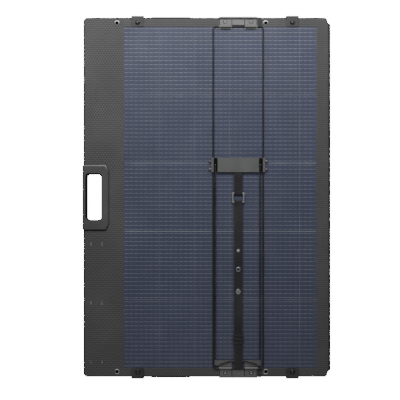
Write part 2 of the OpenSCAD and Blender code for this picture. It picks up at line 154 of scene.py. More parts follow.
class Pen:
    """Adds nodes to one tree and links them."""

    def __init__(self, tree: bpy.types.NodeTree) -> None:
        """Starts on an empty tree."""
        self.tree = tree

    def add(self, kind: str, **settings: Any) -> bpy.types.Node:
        """Adds a node and sets its options.

        Args:
            kind: The node's type name.
            **settings: The node's options, by attribute.

        Returns:
            The new node.
        """
        node = self.tree.nodes.new(kind)
        for key, value in settings.items():
            setattr(node, key, value)
        return node

    def feed(self, socket: bpy.types.NodeSocket, value: Value) -> None:
        """Links a socket into an input, or sets the input's own value.

        Args:
            socket: The input.
            value: A socket to link, or a plain value.
        """
        if isinstance(value, bpy.types.NodeSocket):
            self.tree.links.new(value, socket)
        else:
            socket.default_value = value

    def math(self, operation: str, *values: Value) -> bpy.types.NodeSocket:
        """Result of a math operation on sockets or numbers.

        Args:
            operation: Name of the operation.
            *values: Its operands.

        Returns:
            The result's socket.
        """
        node = self.add("ShaderNodeMath", operation=operation)
        for socket, value in zip(node.inputs, values):
            self.feed(socket, value)
        return node.outputs[0]

    def step(self, value: Value, low: float, high: float) -> bpy.types.NodeSocket:
        """Smooth step from 0 at low to 1 at high.

        Args:
            value: What is tested.
            low: Where the step starts.
            high: Where it ends.

        Returns:
            The result's socket.
        """
        node = self.add("ShaderNodeMapRange", interpolation_type="SMOOTHSTEP")
        for name, number in (("Value", value), ("From Min", low), ("From Max", high)):
            self.feed(node.inputs[name], number)
        return node.outputs["Result"]

    def noise(self, vector: Value, scale: Value, detail: float = 2.0) -> bpy.types.NodeSocket:
        """Noise value from 0 to 1.

        Args:
            vector: Coordinates.
            scale: Noise cells per metre.
            detail: Octaves.

        Returns:
            The result's socket.
        """
        node = self.add("ShaderNodeTexNoise")
        self.feed(node.inputs["Vector"], vector)
        self.feed(node.inputs["Scale"], scale)
        self.feed(node.inputs["Detail"], detail)
        return node.outputs[0]

    def mix(self, factor: Value, first: Value, second: Value) -> bpy.types.NodeSocket:
        """Colour between two colours.

        Args:
            factor: Share of the second colour.
            first: First colour.
            second: Second colour.

        Returns:
            The mixed colour's socket.
        """
        node = self.add("ShaderNodeMix", data_type="RGBA")
        self.feed(node.inputs[0], factor)
        for index, value in ((6, first), (7, second)):
            plain = not isinstance(value, bpy.types.NodeSocket)
            self.feed(node.inputs[index], (*value, 1.0) if plain else value)
        return node.outputs[2]

    def split(self, vector: Value) -> tuple[bpy.types.NodeSocket, ...]:
        """The three parts of a vector.

        Args:
            vector: The vector.

        Returns:
            Its x, y and z.
        """
        node = self.add("ShaderNodeSeparateXYZ")
        self.feed(node.inputs[0], vector)
        return tuple(node.outputs)


class Effect:
    """A shader node group that several finishes share."""

    title = ""
    inputs: tuple[tuple[str, str, float], ...] = ()
    outputs: tuple[str, ...] = ("Mask", "Height")

    @classmethod
    def tree(cls) -> bpy.types.NodeTree:
        """The node group, built at its first use.

        Returns:
            The group's tree.
        """
        found = bpy.data.node_groups.get(cls.title)
        if found:
            return found
        tree = bpy.data.node_groups.new(cls.title, "ShaderNodeTree")
        for name, kind, value in cls.inputs:
            socket = tree.interface.new_socket(name, in_out="INPUT", socket_type=kind)
            if kind == "NodeSocketFloat":
                socket.default_value = value
        for name in cls.outputs:
            tree.interface.new_socket(name, in_out="OUTPUT", socket_type="NodeSocketFloat")
        pen = Pen(tree)
        entry, leave = pen.add("NodeGroupInput"), pen.add("NodeGroupOutput")
        for name, value in cls.wire(pen, entry.outputs).items():
            pen.feed(leave.inputs[name], value)
        return tree

    @classmethod
    def wire(cls, pen: Pen, given: Any) -> dict[str, Value]:
        """Builds the group's nodes and gives its outputs.

        Args:
            pen: Writes to the group's tree.
            given: The group's input sockets, by name.

        Returns:
            A value for each output, by name.
        """
        raise NotImplementedError

    @classmethod
    def place(cls, pen: Pen, **values: Value) -> bpy.types.Node:
        """Puts the group in a material with its own values.

        Args:
            pen: Writes to the material's tree.
            **values: Inputs by lower-case name.

        Returns:
            The group's node.
        """
        node = pen.add("ShaderNodeGroup", node_tree=cls.tree())
        for name, value in values.items():
            pen.feed(node.inputs[name.replace("_", " ").title()], value)
        return node


class Lattice(Effect):
    """Coated cloth: staggered dots on a fine plain weave."""

    title = "cloth_lattice"
    inputs = (("Vector", "NodeSocketVector", 0), ("Across", "NodeSocketFloat", 7.2),
              ("Along", "NodeSocketFloat", 5.6), ("Thread", "NodeSocketFloat", 0.9))

    @classmethod
    def wire(cls, pen: Pen, given: Any) -> dict[str, Value]:
        """Dots on every second place of a grid, over crossed threads.

        Args:
            pen: Writes to the group's tree.
            given: The group's input sockets, by name.

        Returns:
            A value for each output, by name.
        """
        x, y, _ = pen.split(given["Vector"])
        x, y = (pen.math("MULTIPLY", v, 1000.0) for v in (x, y))
        v = pen.math("DIVIDE", y, given["Along"])
        row = pen.math("FLOORED_MODULO", pen.math("FLOOR", v), 2.0)
        u = pen.math("ADD", pen.math("DIVIDE", x, given["Across"]),
                     pen.math("MULTIPLY", row, 0.5))
        du = pen.math("SUBTRACT", pen.math("FRACT", u), 0.5)
        dv = pen.math("SUBTRACT", pen.math("FRACT", v), 0.5)
        far = pen.math("SQRT", pen.math("ADD", pen.math("MULTIPLY", du, du),
                                        pen.math("MULTIPLY", dv, dv)))
        dots = pen.math("SUBTRACT", 1.0, pen.step(far, 0.14, 0.40))
        waves = [pen.math("SINE", pen.math("DIVIDE", pen.math("MULTIPLY", c, math.tau),
                                           given["Thread"])) for c in (x, y)]
        cross = pen.math("MULTIPLY", waves[0], waves[1])
        return {"Mask": dots, "Height": pen.math("ADD", pen.math("MULTIPLY", dots, 0.7),
                                                 pen.math("MULTIPLY", cross, 0.3))}


class Rib(Effect):
    """Woven tape: cords along the length with a herringbone over them, on the tape's UV."""

    title = "tape_rib"
    inputs = (("Vector", "NodeSocketVector", 0), ("Cords", "NodeSocketFloat", 410.0),
              ("Picks", "NodeSocketFloat", 1.0))

    @classmethod
    def wire(cls, pen: Pen, given: Any) -> dict[str, Value]:
        """Slanted picks that change side at every cord.

        Args:
            pen: Writes to the group's tree.
            given: The group's input sockets, by name.

        Returns:
            A value for each output, by name.
        """
        u, v, _ = pen.split(given["Vector"])
        lane = pen.math("MULTIPLY", u, given["Cords"])
        inside = pen.math("ABSOLUTE", pen.math("SUBTRACT", pen.math("FRACT", lane), 0.5))
        cord = pen.math("SUBTRACT", 1.0, pen.step(inside, 0.28, 0.5))
        pick = pen.math("MULTIPLY", pen.math("ADD", pen.math("MULTIPLY", v, 620.0),
                                             pen.math("MULTIPLY", inside, 1.6)), given["Picks"])
        slant = pen.math("ABSOLUTE", pen.math("SUBTRACT", pen.math("FRACT", pick), 0.5))
        thread = pen.step(slant, 0.05, 0.42)
        raised = pen.math("ADD", pen.math("MULTIPLY", thread, 0.5), 0.5)
        height = pen.math("MULTIPLY", cord, raised)
        return {"Mask": height, "Height": height}


class Grain(Effect):
    """Moulded or cast grain with slow changes of tone."""

    title = "surface_grain"
    inputs = (("Vector", "NodeSocketVector", 0), ("Scale", "NodeSocketFloat", 1500.0),
              ("Patch", "NodeSocketFloat", 14.0))

    @classmethod
    def wire(cls, pen: Pen, given: Any) -> dict[str, Value]:
        """Fine bumps and wide soft patches.

        Args:
            pen: Writes to the group's tree.
            given: The group's input sockets, by name.

        Returns:
            A value for each output, by name.
        """
        fine = pen.noise(given["Vector"], given["Scale"], 3.0)
        wide = pen.noise(given["Vector"], given["Patch"], 2.0)
        mask = pen.step(pen.math("ADD", pen.math("MULTIPLY", wide, 0.75),
                                 pen.math("MULTIPLY", fine, 0.25)), 0.3, 0.7)
        return {"Mask": mask, "Height": fine}


class Wear(Effect):
    """Rubbed convex edges, broken up by noise."""

    title = "edge_wear"
    inputs = (("Vector", "NodeSocketVector", 0), ("Scale", "NodeSocketFloat", 60.0),
              ("Amount", "NodeSocketFloat", 0.6))
    outputs = ("Mask",)

    @classmethod
    def wire(cls, pen: Pen, given: Any) -> dict[str, Value]:
        """How far the rounded normal leans from the face's own, times noise.

        Args:
            pen: Writes to the group's tree.
            given: The group's input sockets, by name.

        Returns:
            A value for each output, by name.
        """
        soft = pen.add("ShaderNodeBevel", samples=4)
        soft.inputs["Radius"].default_value = 0.5 * MM
        lean = pen.add("ShaderNodeVectorMath", operation="DOT_PRODUCT")
        pen.feed(lean.inputs[0], soft.outputs[0])
        pen.feed(lean.inputs[1], pen.add("ShaderNodeNewGeometry").outputs["Normal"])
        edge = pen.step(pen.math("SUBTRACT", 1.0, lean.outputs["Value"]), 0.01, 0.2)
        patch = pen.step(pen.noise(given["Vector"], given["Scale"], 4.0), 0.38, 0.62)
        return {"Mask": pen.math("MULTIPLY", pen.math("MULTIPLY", edge, patch), given["Amount"])}


class Dust(Effect):
    """Thin dust in soft patches and scattered specks."""

    title = "thin_dust"
    inputs = (("Vector", "NodeSocketVector", 0), ("Scale", "NodeSocketFloat", 9.0),
              ("Amount", "NodeSocketFloat", 0.1))
    outputs = ("Mask",)

    @classmethod
    def wire(cls, pen: Pen, given: Any) -> dict[str, Value]:
        """Patches plus specks.

        Args:
            pen: Writes to the group's tree.
            given: The group's input sockets, by name.

        Returns:
            A value for each output, by name.
        """
        patch = pen.step(pen.noise(given["Vector"], given["Scale"], 5.0), 0.4, 0.75)
        speck = pen.step(pen.noise(given["Vector"], 900.0, 1.0), 0.72, 0.8)
        both = pen.math("ADD", pen.math("MULTIPLY", patch, 0.8), pen.math("MULTIPLY", speck, 0.5))
        return {"Mask": pen.math("MULTIPLY", both, given["Amount"])}


# ---- finishes ----


def grey(level: float, blue: float = 0.0) -> Colour:
    """A grey, with a little more blue where it's asked for."""
    return (level, level, level + blue)


@dataclass(frozen=True)
class Finish:
    """A surface finish: plain values on the shader and shared effects over them."""

    title: str
    colour: Colour
    shade: Colour
    roughness: float = 0.5
    metallic: float = 0.0
    specular: float = 0.5
    grain: float = 1500.0
    grain_depth: float = 0.02
    wear: float = 0.0
    wear_colour: Colour = grey(0.3)
    dust: float = 0.05
    sheen: float = 0.0
    uses_uv: bool = False

    def build(self) -> bpy.types.Material:
        """The material, made at its first use.

        Returns:
            The material, with all its nodes.
        """
        name = "finish_" + self.title
        found = bpy.data.materials.get(name)
        if found:
            return found
        material = bpy.data.materials.new(name)
        material.use_nodes = True
        tree = material.node_tree
        pen = Pen(tree)
        shader = tree.nodes["Principled BSDF"]
        where = pen.add("ShaderNodeTexCoord").outputs["UV" if self.uses_uv else "Object"]
        place = pen.add("ShaderNodeTexCoord").outputs["Object"]
        colour, height, depth = self.pattern(pen, where)
        if self.wear:
            rub = Wear.place(pen, vector=place, amount=self.wear).outputs[0]
            colour = pen.mix(rub, colour, self.wear_colour)
        if self.dust:
            dust = Dust.place(pen, vector=place, amount=self.dust).outputs[0]
            colour = pen.mix(dust, colour, DUST_COLOUR)
        pen.feed(shader.inputs["Base Color"], colour)
        tone = Grain.place(pen, vector=place, scale=self.grain * 0.3, patch=22.0).outputs["Mask"]
        pen.feed(shader.inputs["Roughness"], pen.math(
            "ADD", self.roughness - ROUGHNESS_BAND / 2, pen.math("MULTIPLY", tone, ROUGHNESS_BAND)))
        shader.inputs["Metallic"].default_value = self.metallic
        shader.inputs["Specular IOR Level"].default_value = self.specular
        shader.inputs["Sheen Weight"].default_value = self.sheen
        bump = pen.add("ShaderNodeBump")
        bump.inputs["Strength"].default_value = BUMP_STRENGTH
        bump.inputs["Distance"].default_value = depth * MM
        pen.feed(bump.inputs["Height"], height)
        pen.feed(shader.inputs["Normal"], bump.outputs[0])
        self.extra(pen, shader, where)
        return material

    def pattern(self, pen: Pen, where: Value) -> tuple[Value, Value, float]:
        """Base colour, bump height and bump depth in millimetres.

        Args:
            pen: Writes to the material's tree.
            where: Coordinates of the pattern.

        Returns:
            Colour, height and depth.
        """
        grain = Grain.place(pen, vector=where, scale=self.grain)
        colour = pen.mix(grain.outputs["Mask"], self.colour, self.shade)
        return colour, grain.outputs["Height"], self.grain_depth

    def extra(self, pen: Pen, shader: bpy.types.Node, where: Value) -> None:
        """Anything a special finish adds to its shader.

        Args:
            pen: Writes to the material's tree.
            shader: The Principled BSDF.
            where: Coordinates of the pattern.
        """


@dataclass(frozen=True)
class Cloth(Finish):
    """Coated cloth with a dot lattice."""

    dot: Colour = grey(0.1)
    across: float = 7.2
    along: float = 5.6
    dot_depth: float = 0.12

    def pattern(self, pen: Pen, where: Value) -> tuple[Value, Value, float]:
        """Grain tones with the dots over them.

        Args:
            pen: Writes to the material's tree.
            where: Coordinates of the pattern.

        Returns:
            Colour, height and depth.
        """
        grain = Grain.place(pen, vector=where, scale=self.grain, patch=6.0)
        lattice = Lattice.place(pen, vector=where, across=self.across, along=self.along)
        base = pen.mix(grain.outputs["Mask"], self.colour, self.shade)
        colour = pen.mix(lattice.outputs["Mask"], base, self.dot)
        return colour, lattice.outputs["Height"], self.dot_depth


@dataclass(frozen=True)
class Tape(Finish):
    """Webbing and woven tape, on the piece's UV in metres along it."""

    cords: float = 410.0
    picks: float = 1.0
    rib_depth: float = 0.35

    def pattern(self, pen: Pen, where: Value) -> tuple[Value, Value, float]:
        """Dark gaps between raised threads.

        Args:
            pen: Writes to the material's tree.
            where: Coordinates of the pattern.

        Returns:
            Colour, height and depth.
        """
        rib = Rib.place(pen, vector=where, cords=self.cords, picks=self.picks)
        colour = pen.mix(rib.outputs["Mask"], self.shade, self.colour)
        return colour, rib.outputs["Height"], self.rib_depth


@dataclass(frozen=True)
class Cell(Finish):
    """Solar cell: fine contact fingers and a tone of its own for each wafer."""

    pitch_x: float = 94.6
    pitch_y: float = 184.0
    finger: float = 1.3
    finger_colour: Colour = (0.09, 0.10, 0.14)

    def pattern(self, pen: Pen, where: Value) -> tuple[Value, Value, float]:
        """Wafer tones, fine fingers across the contact wires and soft blotches.

        Args:
            pen: Writes to the material's tree.
            where: Coordinates of the pattern.

        Returns:
            Colour, height and depth.
        """
        x, y, _ = pen.split(where)
        cell = pen.add("ShaderNodeCombineXYZ")
        pen.feed(cell.inputs[0], pen.math("FLOOR", pen.math("DIVIDE", x, self.pitch_x * MM)))
        pen.feed(cell.inputs[1], pen.math("FLOOR", pen.math("DIVIDE", y, self.pitch_y * MM)))
        noise = pen.add("ShaderNodeTexWhiteNoise", noise_dimensions="3D")
        pen.feed(noise.inputs["Vector"], cell.outputs[0])
        line = pen.math("ABSOLUTE", pen.math("SUBTRACT", pen.math("FRACT", pen.math(
            "DIVIDE", x, self.finger * MM)), 0.5))
        finger = pen.math("MULTIPLY", pen.step(line, 0.42, 0.49), 0.35)
        grain = Grain.place(pen, vector=where, scale=self.grain, patch=5.0)
        tone = pen.math("ADD", pen.math("MULTIPLY", noise.outputs[0], 0.35),
                        pen.math("MULTIPLY", grain.outputs["Mask"], 0.4))
        base = pen.mix(tone, self.colour, self.shade)
        colour = pen.mix(finger, base, self.finger_colour)
        return colour, grain.outputs["Height"], self.grain_depth


@dataclass(frozen=True)
class Film(Finish):
    """Semi-clear textured laminate."""

    opacity: float = 0.18
    haze: float = 0.04

    def extra(self, pen: Pen, shader: bpy.types.Node, where: Value) -> None:
        """Lets the layers under it show.

        Args:
            pen: Writes to the material's tree.
            shader: The Principled BSDF.
            where: Coordinates of the pattern.
        """
        cloud = Grain.place(pen, vector=where, scale=700.0, patch=4.0).outputs["Mask"]
        pen.feed(shader.inputs["Alpha"], pen.math("ADD", self.opacity - self.haze / 2,
                                                  pen.math("MULTIPLY", cloud, self.haze)))


class Slot(Enum):
    """The record's slots and the finish each one takes here."""

    cover_fabric = Cloth("cover_cloth", grey(0.035), grey(0.030), 0.62,
                         dot=grey(0.071), dust=0.04, sheen=0.05, specular=0.4)
    hem = Cloth("hem_tape", grey(0.018, 0.001), grey(0.013), 0.7,
                dot=grey(0.034, 0.001), across=1.6, along=1.2, specular=0.25)
    clear_laminate = Film("clear_laminate", (0.075, 0.082, 0.10), (0.06, 0.066, 0.085), 0.3,
                          opacity=0.10, dust=0.02)
    stiffener = Finish("stiff_board", grey(0.10), grey(0.07), 0.7)
    cells = Cell("cell_wafer", (0.046, 0.050, 0.088), (0.034, 0.037, 0.069), 0.42, dust=0.02,
                 grain=500.0, specular=0.4)
    ribbon = Finish("tinned_ribbon", (0.21, 0.22, 0.25), (0.15, 0.16, 0.19), 0.45, 0.2)
    solder = Finish("solder_pad", (0.22, 0.23, 0.27), (0.16, 0.17, 0.20), 0.5, 0.1)
    gap_strip = Finish("gap_strip", (0.085, 0.09, 0.11), (0.065, 0.07, 0.09), 0.6)
    clear_film = Film("clear_film", (0.08, 0.09, 0.13), (0.065, 0.075, 0.11), 0.42, opacity=0.07,
                      dust=0.03, specular=0.45)
    eyelet_metal = Finish("eyelet_nickel", grey(0.30), grey(0.22, 0.01), 0.36, 0.9,
                          wear=0.4, wear_colour=grey(0.5))
    grip_plastic = Finish("grip_plastic", grey(0.052, 0.002), grey(0.042, 0.002), 0.42,
                          grain=2200.0, grain_depth=0.05, wear=0.45,
                          wear_colour=grey(0.16), dust=0.06)
    screw_steel = Finish("screw_steel", grey(0.30, 0.01), grey(0.2, 0.01), 0.35, 0.9,
                         wear=0.5, wear_colour=grey(0.5))
    stand_metal = Finish("stand_paint", (0.105, 0.106, 0.108), (0.085, 0.086, 0.088), 0.45, 0.35,
                         grain=1800.0, grain_depth=0.03, wear=0.6, wear_colour=grey(0.34))
    bracket = Finish("bracket_paint", grey(0.145), grey(0.115), 0.42, 0.6,
                     grain=1800.0, grain_depth=0.03, wear=0.5, wear_colour=grey(0.5))
    rivet_metal = Finish("rivet_metal", grey(0.20), grey(0.14), 0.35, 0.8,
                         wear=0.6, wear_colour=grey(0.45))
    black_wire = Finish("black_wire", grey(0.012, 0.001), grey(0.008, 0.001), 0.45,
                        grain=1200.0, wear=0.3, wear_colour=grey(0.08), dust=0.01)
    prop_metal = Finish("prop_bar_paint", grey(0.020, 0.001), grey(0.014, 0.001), 0.45, 0.2,
                        wear=0.3, wear_colour=grey(0.10))
    foot_plate = Finish("foot_plate", grey(0.078, 0.001), grey(0.062, 0.001), 0.5,
                        wear=0.5, wear_colour=grey(0.18))
    webbing = Tape("webbing", grey(0.018, 0.001), grey(0.005), 0.75, uses_uv=True,
                   sheen=0.25, specular=0.2)
    thread = Finish("sewing_thread", grey(0.17), grey(0.10), 0.7, dust=0.0,
                    specular=0.3, grain=2500.0, grain_depth=0.1)
    black_thread = Finish("black_thread", grey(0.045, 0.001), grey(0.02), 0.6,
                          dust=0.0, grain=2500.0, grain_depth=0.1)
    bright_metal = Finish("bright_metal", grey(0.62, 0.01), grey(0.48, 0.02), 0.28, 0.95,
                          grain=900.0, wear=0.3, wear_colour=grey(0.85), dust=0.02)
    ring_metal = Finish("ring_metal", grey(0.40), grey(0.30), 0.36, 0.9,
                        grain=900.0, wear=0.5, wear_colour=grey(0.7), dust=0.02)
    # Near-black for dark joints and sewn lines, and for the painted shade and painted shadows of
    # the dark pieces that stand in for them.
    seam = Finish("black_seam_and_painted_shade", grey(0.004), grey(0.003), 0.75, specular=0.12,
                  dust=0.0)
    snap_metal = Finish("snap_metal", grey(0.30, 0.01), grey(0.2, 0.01), 0.32, 0.8,
                        wear=0.5, wear_colour=grey(0.6), dust=0.03)
    stud_metal = Finish("stud_metal", grey(0.05, 0.002), grey(0.035, 0.002), 0.22, 0.7,
                        wear=0.3, wear_colour=grey(0.3), dust=0.02)
    slider_plastic = Finish("slider_plastic", grey(0.016, 0.001), grey(0.01, 0.001), 0.4,
                            grain=1900.0, wear=0.3, wear_colour=grey(0.1))
    # Also gives the painted shadow plates under the upper bracket's knuckles.
    loop_rubber = Finish("loop_rubber", grey(0.020, 0.001), grey(0.013, 0.001), 0.55,
                         grain=1300.0, grain_depth=0.12, wear=0.3, wear_colour=grey(0.1))
    spine_fabric = Cloth("spine_fabric", grey(0.030, 0.001), grey(0.022), 0.7,
                         dot=grey(0.042, 0.001), across=2.4, along=1.8, uses_uv=True,
                         specular=0.3)
    elastic = Tape("elastic_tape", grey(0.03), grey(0.012), 0.8, uses_uv=True,
                   cords=900.0, picks=1.4, rib_depth=0.25)
    copper = Finish("jacketed_lead", grey(0.014, 0.001), grey(0.010, 0.001), 0.4)
    pivot = Finish("blackened_rod", grey(0.016, 0.001), grey(0.011, 0.001), 0.4, 0.5)
    box_plastic = Finish("box_plastic", grey(0.022, 0.001), grey(0.016, 0.001), 0.5,
                         grain=2200.0, grain_depth=0.05, wear=0.35, wear_colour=grey(0.12))

    @property
    def record_name(self) -> str:
        """Name of the record's slot that this finish belongs to."""
        return RECORD_SLOT.get(self, self.name)


RECORD_SLOT = {Slot.hem: "cover_fabric", Slot.solder: "ribbon", Slot.bracket: "stand_metal",
              Slot.prop_metal: "stand_metal", Slot.thread: "webbing", Slot.elastic: "webbing",
              Slot.black_thread: "webbing", Slot.stud_metal: "snap_metal",
              Slot.gap_strip: "ribbon", Slot.ring_metal: "bright_metal", Slot.seam: "loop_rubber",
              Slot.pivot: "screw_steel"}


# ---- mesh building ----


def rounded(low: Point, high: Point, radius: float, steps: int = 5) -> list[Point]:
    """Outline of a rectangle with round corners.

    Args:
        low: Lowest corner.
        high: Highest corner.
        radius: Corner radius.
        steps: Points in each corner, less one.

    Returns:
        The outline's points, counter-clockwise.
    """
    points = []
    for quarter, (sx, sy) in enumerate(((1, 1), (-1, 1), (-1, -1), (1, -1))):
        cx = high[0] - radius if sx > 0 else low[0] + radius
        cy = high[1] - radius if sy > 0 else low[1] + radius
        for step in range(steps + 1):
            turn = (quarter + step / steps) * math.pi / 2
            points.append((cx + radius * math.cos(turn), cy + radius * math.sin(turn)))
    return points


def inset(outline: Sequence[Point], depth: float) -> list[Point]:
    """A convex counter-clockwise outline moved inwards, or outwards where depth is negative.

    Args:
        outline: Points of the outline.
        depth: How far each side moves in.

    Returns:
        The moved points.
    """
    moved = []
    count = len(outline)
    for index in range(count):
        before, here, after = (Vector(outline[(index + k) % count]) for k in (-1, 0, 1))
        first, second = (here - before).normalized(), (after - here).normalized()
        normal = Vector((-first.y - second.y, first.x + second.x))
        scale = depth / max(0.2, normal.dot(Vector((-first.y, first.x))))
        moved.append(tuple(here + normal * scale))
    return moved


class Shape:
    """A mesh under way, in millimetres of a local frame."""

    def __init__(self) -> None:
        """Starts empty."""
        self.bm = bmesh.new()

    @classmethod
    def of_node(cls, node: str, place: Place) -> "Shape":
        """A merged copy of a frame node's mesh, with its flat faces joined.

        Args:
            node: The node's name.
            place: Frame that the copy is turned into.

        Returns:
            The copy.
        """
        shape = cls()
        bm = shape.bm
        bm.from_mesh(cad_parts[node].data)
        bm.transform(place.matrix.inverted())
        if place.matrix.determinant() < 0:
            bmesh.ops.reverse_faces(bm, faces=bm.faces[:])
        bmesh.ops.remove_doubles(bm, verts=bm.verts[:], dist=1e-3)
        bmesh.ops.dissolve_limit(bm, angle_limit=0.01, verts=bm.verts[:], edges=bm.edges[:])
        return shape

    def take(self, part: bmesh.types.BMesh, at: Matrix = IDENTITY) -> "Shape":
        """Adds a finished bmesh, moved by a matrix, and frees it.

        Args:
            part: What is added.
            at: Where it goes.

        Returns:
            The shape itself.
        """
        mesh = bpy.data.meshes.new("part")
        part.to_mesh(mesh)
        part.free()
        mesh.transform(at)
        self.bm.from_mesh(mesh)
        bpy.data.meshes.remove(mesh)
        return self

    def plate(self, outline: Sequence[Point], w0: float, w1: float, edge: float = 0.3,
              segments: int = 2, at: Matrix = IDENTITY) -> "Shape":
        """A plate of an outline between two heights, with rounded edges.

        Args:
            outline: Points of the outline.
            w0: Lower height.
            w1: Upper height.
            edge: Width of the rounding, or 0 for sharp edges.
            segments: Steps in the rounding.
            at: Where the plate goes.

        Returns:
            The shape itself.
        """
        bm = bmesh.new()
        face = bm.faces.new([bm.verts.new((x, y, w0)) for x, y in outline])
        grown = bmesh.ops.extrude_face_region(bm, geom=[face])["geom"]
        top = [v for v in grown if isinstance(v, bmesh.types.BMVert)]
        bmesh.ops.translate(bm, vec=(0, 0, w1 - w0), verts=top)
        bmesh.ops.recalc_face_normals(bm, faces=bm.faces[:])
        if edge:
            rim = [e for e in bm.edges if e.is_manifold and e.calc_face_angle() > 0.9]
            bmesh.ops.bevel(bm, geom=rim, offset=edge, segments=segments, profile=0.5,
                            affect="EDGES", material=-1)
        return self.take(bm, at)

    def block(self, low: Point3, high: Point3, edge: float = 0.3, segments: int = 2,
              at: Matrix = IDENTITY) -> "Shape":
        """A rounded block between two corners.

        Args:
            low: Lowest corner.
            high: Highest corner.
            edge: Width of the rounding.
            segments: Steps in the rounding.
            at: Where the block goes.

        Returns:
            The shape itself.
        """
        outline = [(low[0], low[1]), (high[0], low[1]), (high[0], high[1]), (low[0], high[1])]
        return self.plate(outline, low[2], high[2], edge, segments, at)

    def turned(self, profile: Sequence[Point], x: float, y: float, steps: int = 32) -> "Shape":
        """A lathe shape from a profile of (radius, height), about an upright axis.

        Args:
            profile: Points from the inside out.
            x: The axis's x.
            y: The axis's y.
            steps: Faces round the shape.

        Returns:
            The shape itself.
        """
        bm = bmesh.new()
        verts = [bm.verts.new((r, 0, w)) for r, w in profile]
        edges = [bm.edges.new(pair) for pair in zip(verts, verts[1:])]
        bmesh.ops.spin(bm, geom=verts + edges, cent=(0, 0, 0), axis=(0, 0, 1), angle=math.tau,
                       steps=steps, use_merge=True)
        bmesh.ops.remove_doubles(bm, verts=bm.verts[:], dist=1e-3)
        bmesh.ops.recalc_face_normals(bm, faces=bm.faces[:])
        return self.take(bm, Matrix.Translation((x, y, 0)))

    def loft(self, rings: Sequence[tuple[Sequence[Point], float]]) -> "Shape":
        """A closed skin over outlines at their heights, the last joined to the first.

        Args:
            rings: Outlines of equal point order with their heights, no two of them alike.

        Returns:
            The shape itself.
        """
        bm = bmesh.new()
        loops = []
        for outline, w in rings:
            verts = [bm.verts.new((x, y, w)) for x, y in outline]
            loops.append([bm.edges.new(pair) for pair in zip(verts, verts[1:] + verts[:1])])
        for first, second in zip(loops, loops[1:] + loops[:1]):
            bmesh.ops.bridge_loops(bm, edges=first + second)
        bmesh.ops.recalc_face_normals(bm, faces=bm.faces[:])
        return self.take(bm)

    def band(self, path: Sequence[Point], x0: float, x1: float, thickness: float,
             across: int = 6, fine: float = 4.0, length_axis: str = "Y") -> "Shape":
        """A strip of tape along a path in the (y, w) plane, with UV in metres along it.

        Args:
            path: Points of the strip's middle, as (y, w).
            x0: One side of the strip.
            x1: The other side.
            thickness: Thickness of the strip.
            across: Faces across the width.
            fine: Longest step along the path.
            length_axis: "Y" for a path in (y, w), or "X" for a path in (x, w).

        Returns:
            The shape itself.
        """
        points = [Vector(path[0])]
        for start, end in zip(path, path[1:]):
            gap = Vector(end) - Vector(start)
            count = max(1, math.ceil(gap.length / fine))
            points += [Vector(start) + gap * (k / count) for k in range(1, count + 1)]
        last = len(points) - 1
        run, normals = [0.0], []
        for index, point in enumerate(points):
            ahead = points[min(index + 1, last)] - points[max(index - 1, 0)]
            normals.append(Vector((-ahead.y, ahead.x)).normalized())
            if index:
                run.append(run[-1] + (point - points[index - 1]).length)
        bm = bmesh.new()
        uv = bm.loops.layers.uv.new("UVMap")
        rank = bm.verts.layers.int.new("row")
        bmesh.ops.create_grid(bm, x_segments=across, y_segments=last, size=0.5)
        for vert in bm.verts:
            vert[rank] = round((vert.co.y + 0.5) * last)
            for loop in vert.link_loops:
                loop[uv].uv = ((vert.co.x + 0.5) * (x1 - x0) * MM, run[vert[rank]] * MM)
            along, height = points[vert[rank]] + normals[vert[rank]] * (thickness / 2)
            side = x0 + (vert.co.x + 0.5) * (x1 - x0)
            vert.co = (side, along, height) if length_axis == "Y" else (along, side, height)
        grown = bmesh.ops.extrude_face_region(bm, geom=bm.faces[:])["geom"]
        for vert in (v for v in grown if isinstance(v, bmesh.types.BMVert)):
            down = normals[vert[rank]] * -thickness
            vert.co += Vector((0, down.x, down.y) if length_axis == "Y" else (down.x, 0, down.y))
        bmesh.ops.recalc_face_normals(bm, faces=bm.faces[:])
        rim = [e for e in bm.edges if e.is_manifold and e.calc_face_angle() > 1.1]
        bmesh.ops.bevel(bm, geom=rim, offset=thickness * 0.28, segments=2, profile=0.5,
                        affect="EDGES", material=-1)
        bm.verts.layers.int.remove(bm.verts.layers.int["row"])
        return self.take(bm)

    def stitches(self, start: Point, end: Point, w: float, length: float = 2.4,
                 width: float = 0.55, pitch: float = 3.4) -> "Shape":
        """A row of stitches on a surface, from one point to another.

        Args:
            start: Where the row starts.
            end: Where it ends.
            w: Height of the surface.
            length: Length of a stitch.
            width: Width of a stitch.
            pitch: Distance from one stitch to the next.

        Returns:
            The shape itself.
        """
        gap = Vector(end) - Vector(start)
        count = max(1, int(gap.length // pitch))
        turn = Matrix.Rotation(math.atan2(gap.y, gap.x), 4, "Z")
        for index in range(count):
            spot = Vector(start) + gap * ((index + 0.5) / count)
            at = Matrix.Translation((spot.x, spot.y, w)) @ turn
            self.block((-length / 2, -width / 2, -0.1), (length / 2, width / 2, 0.22), 0.12, 1, at)
        return self

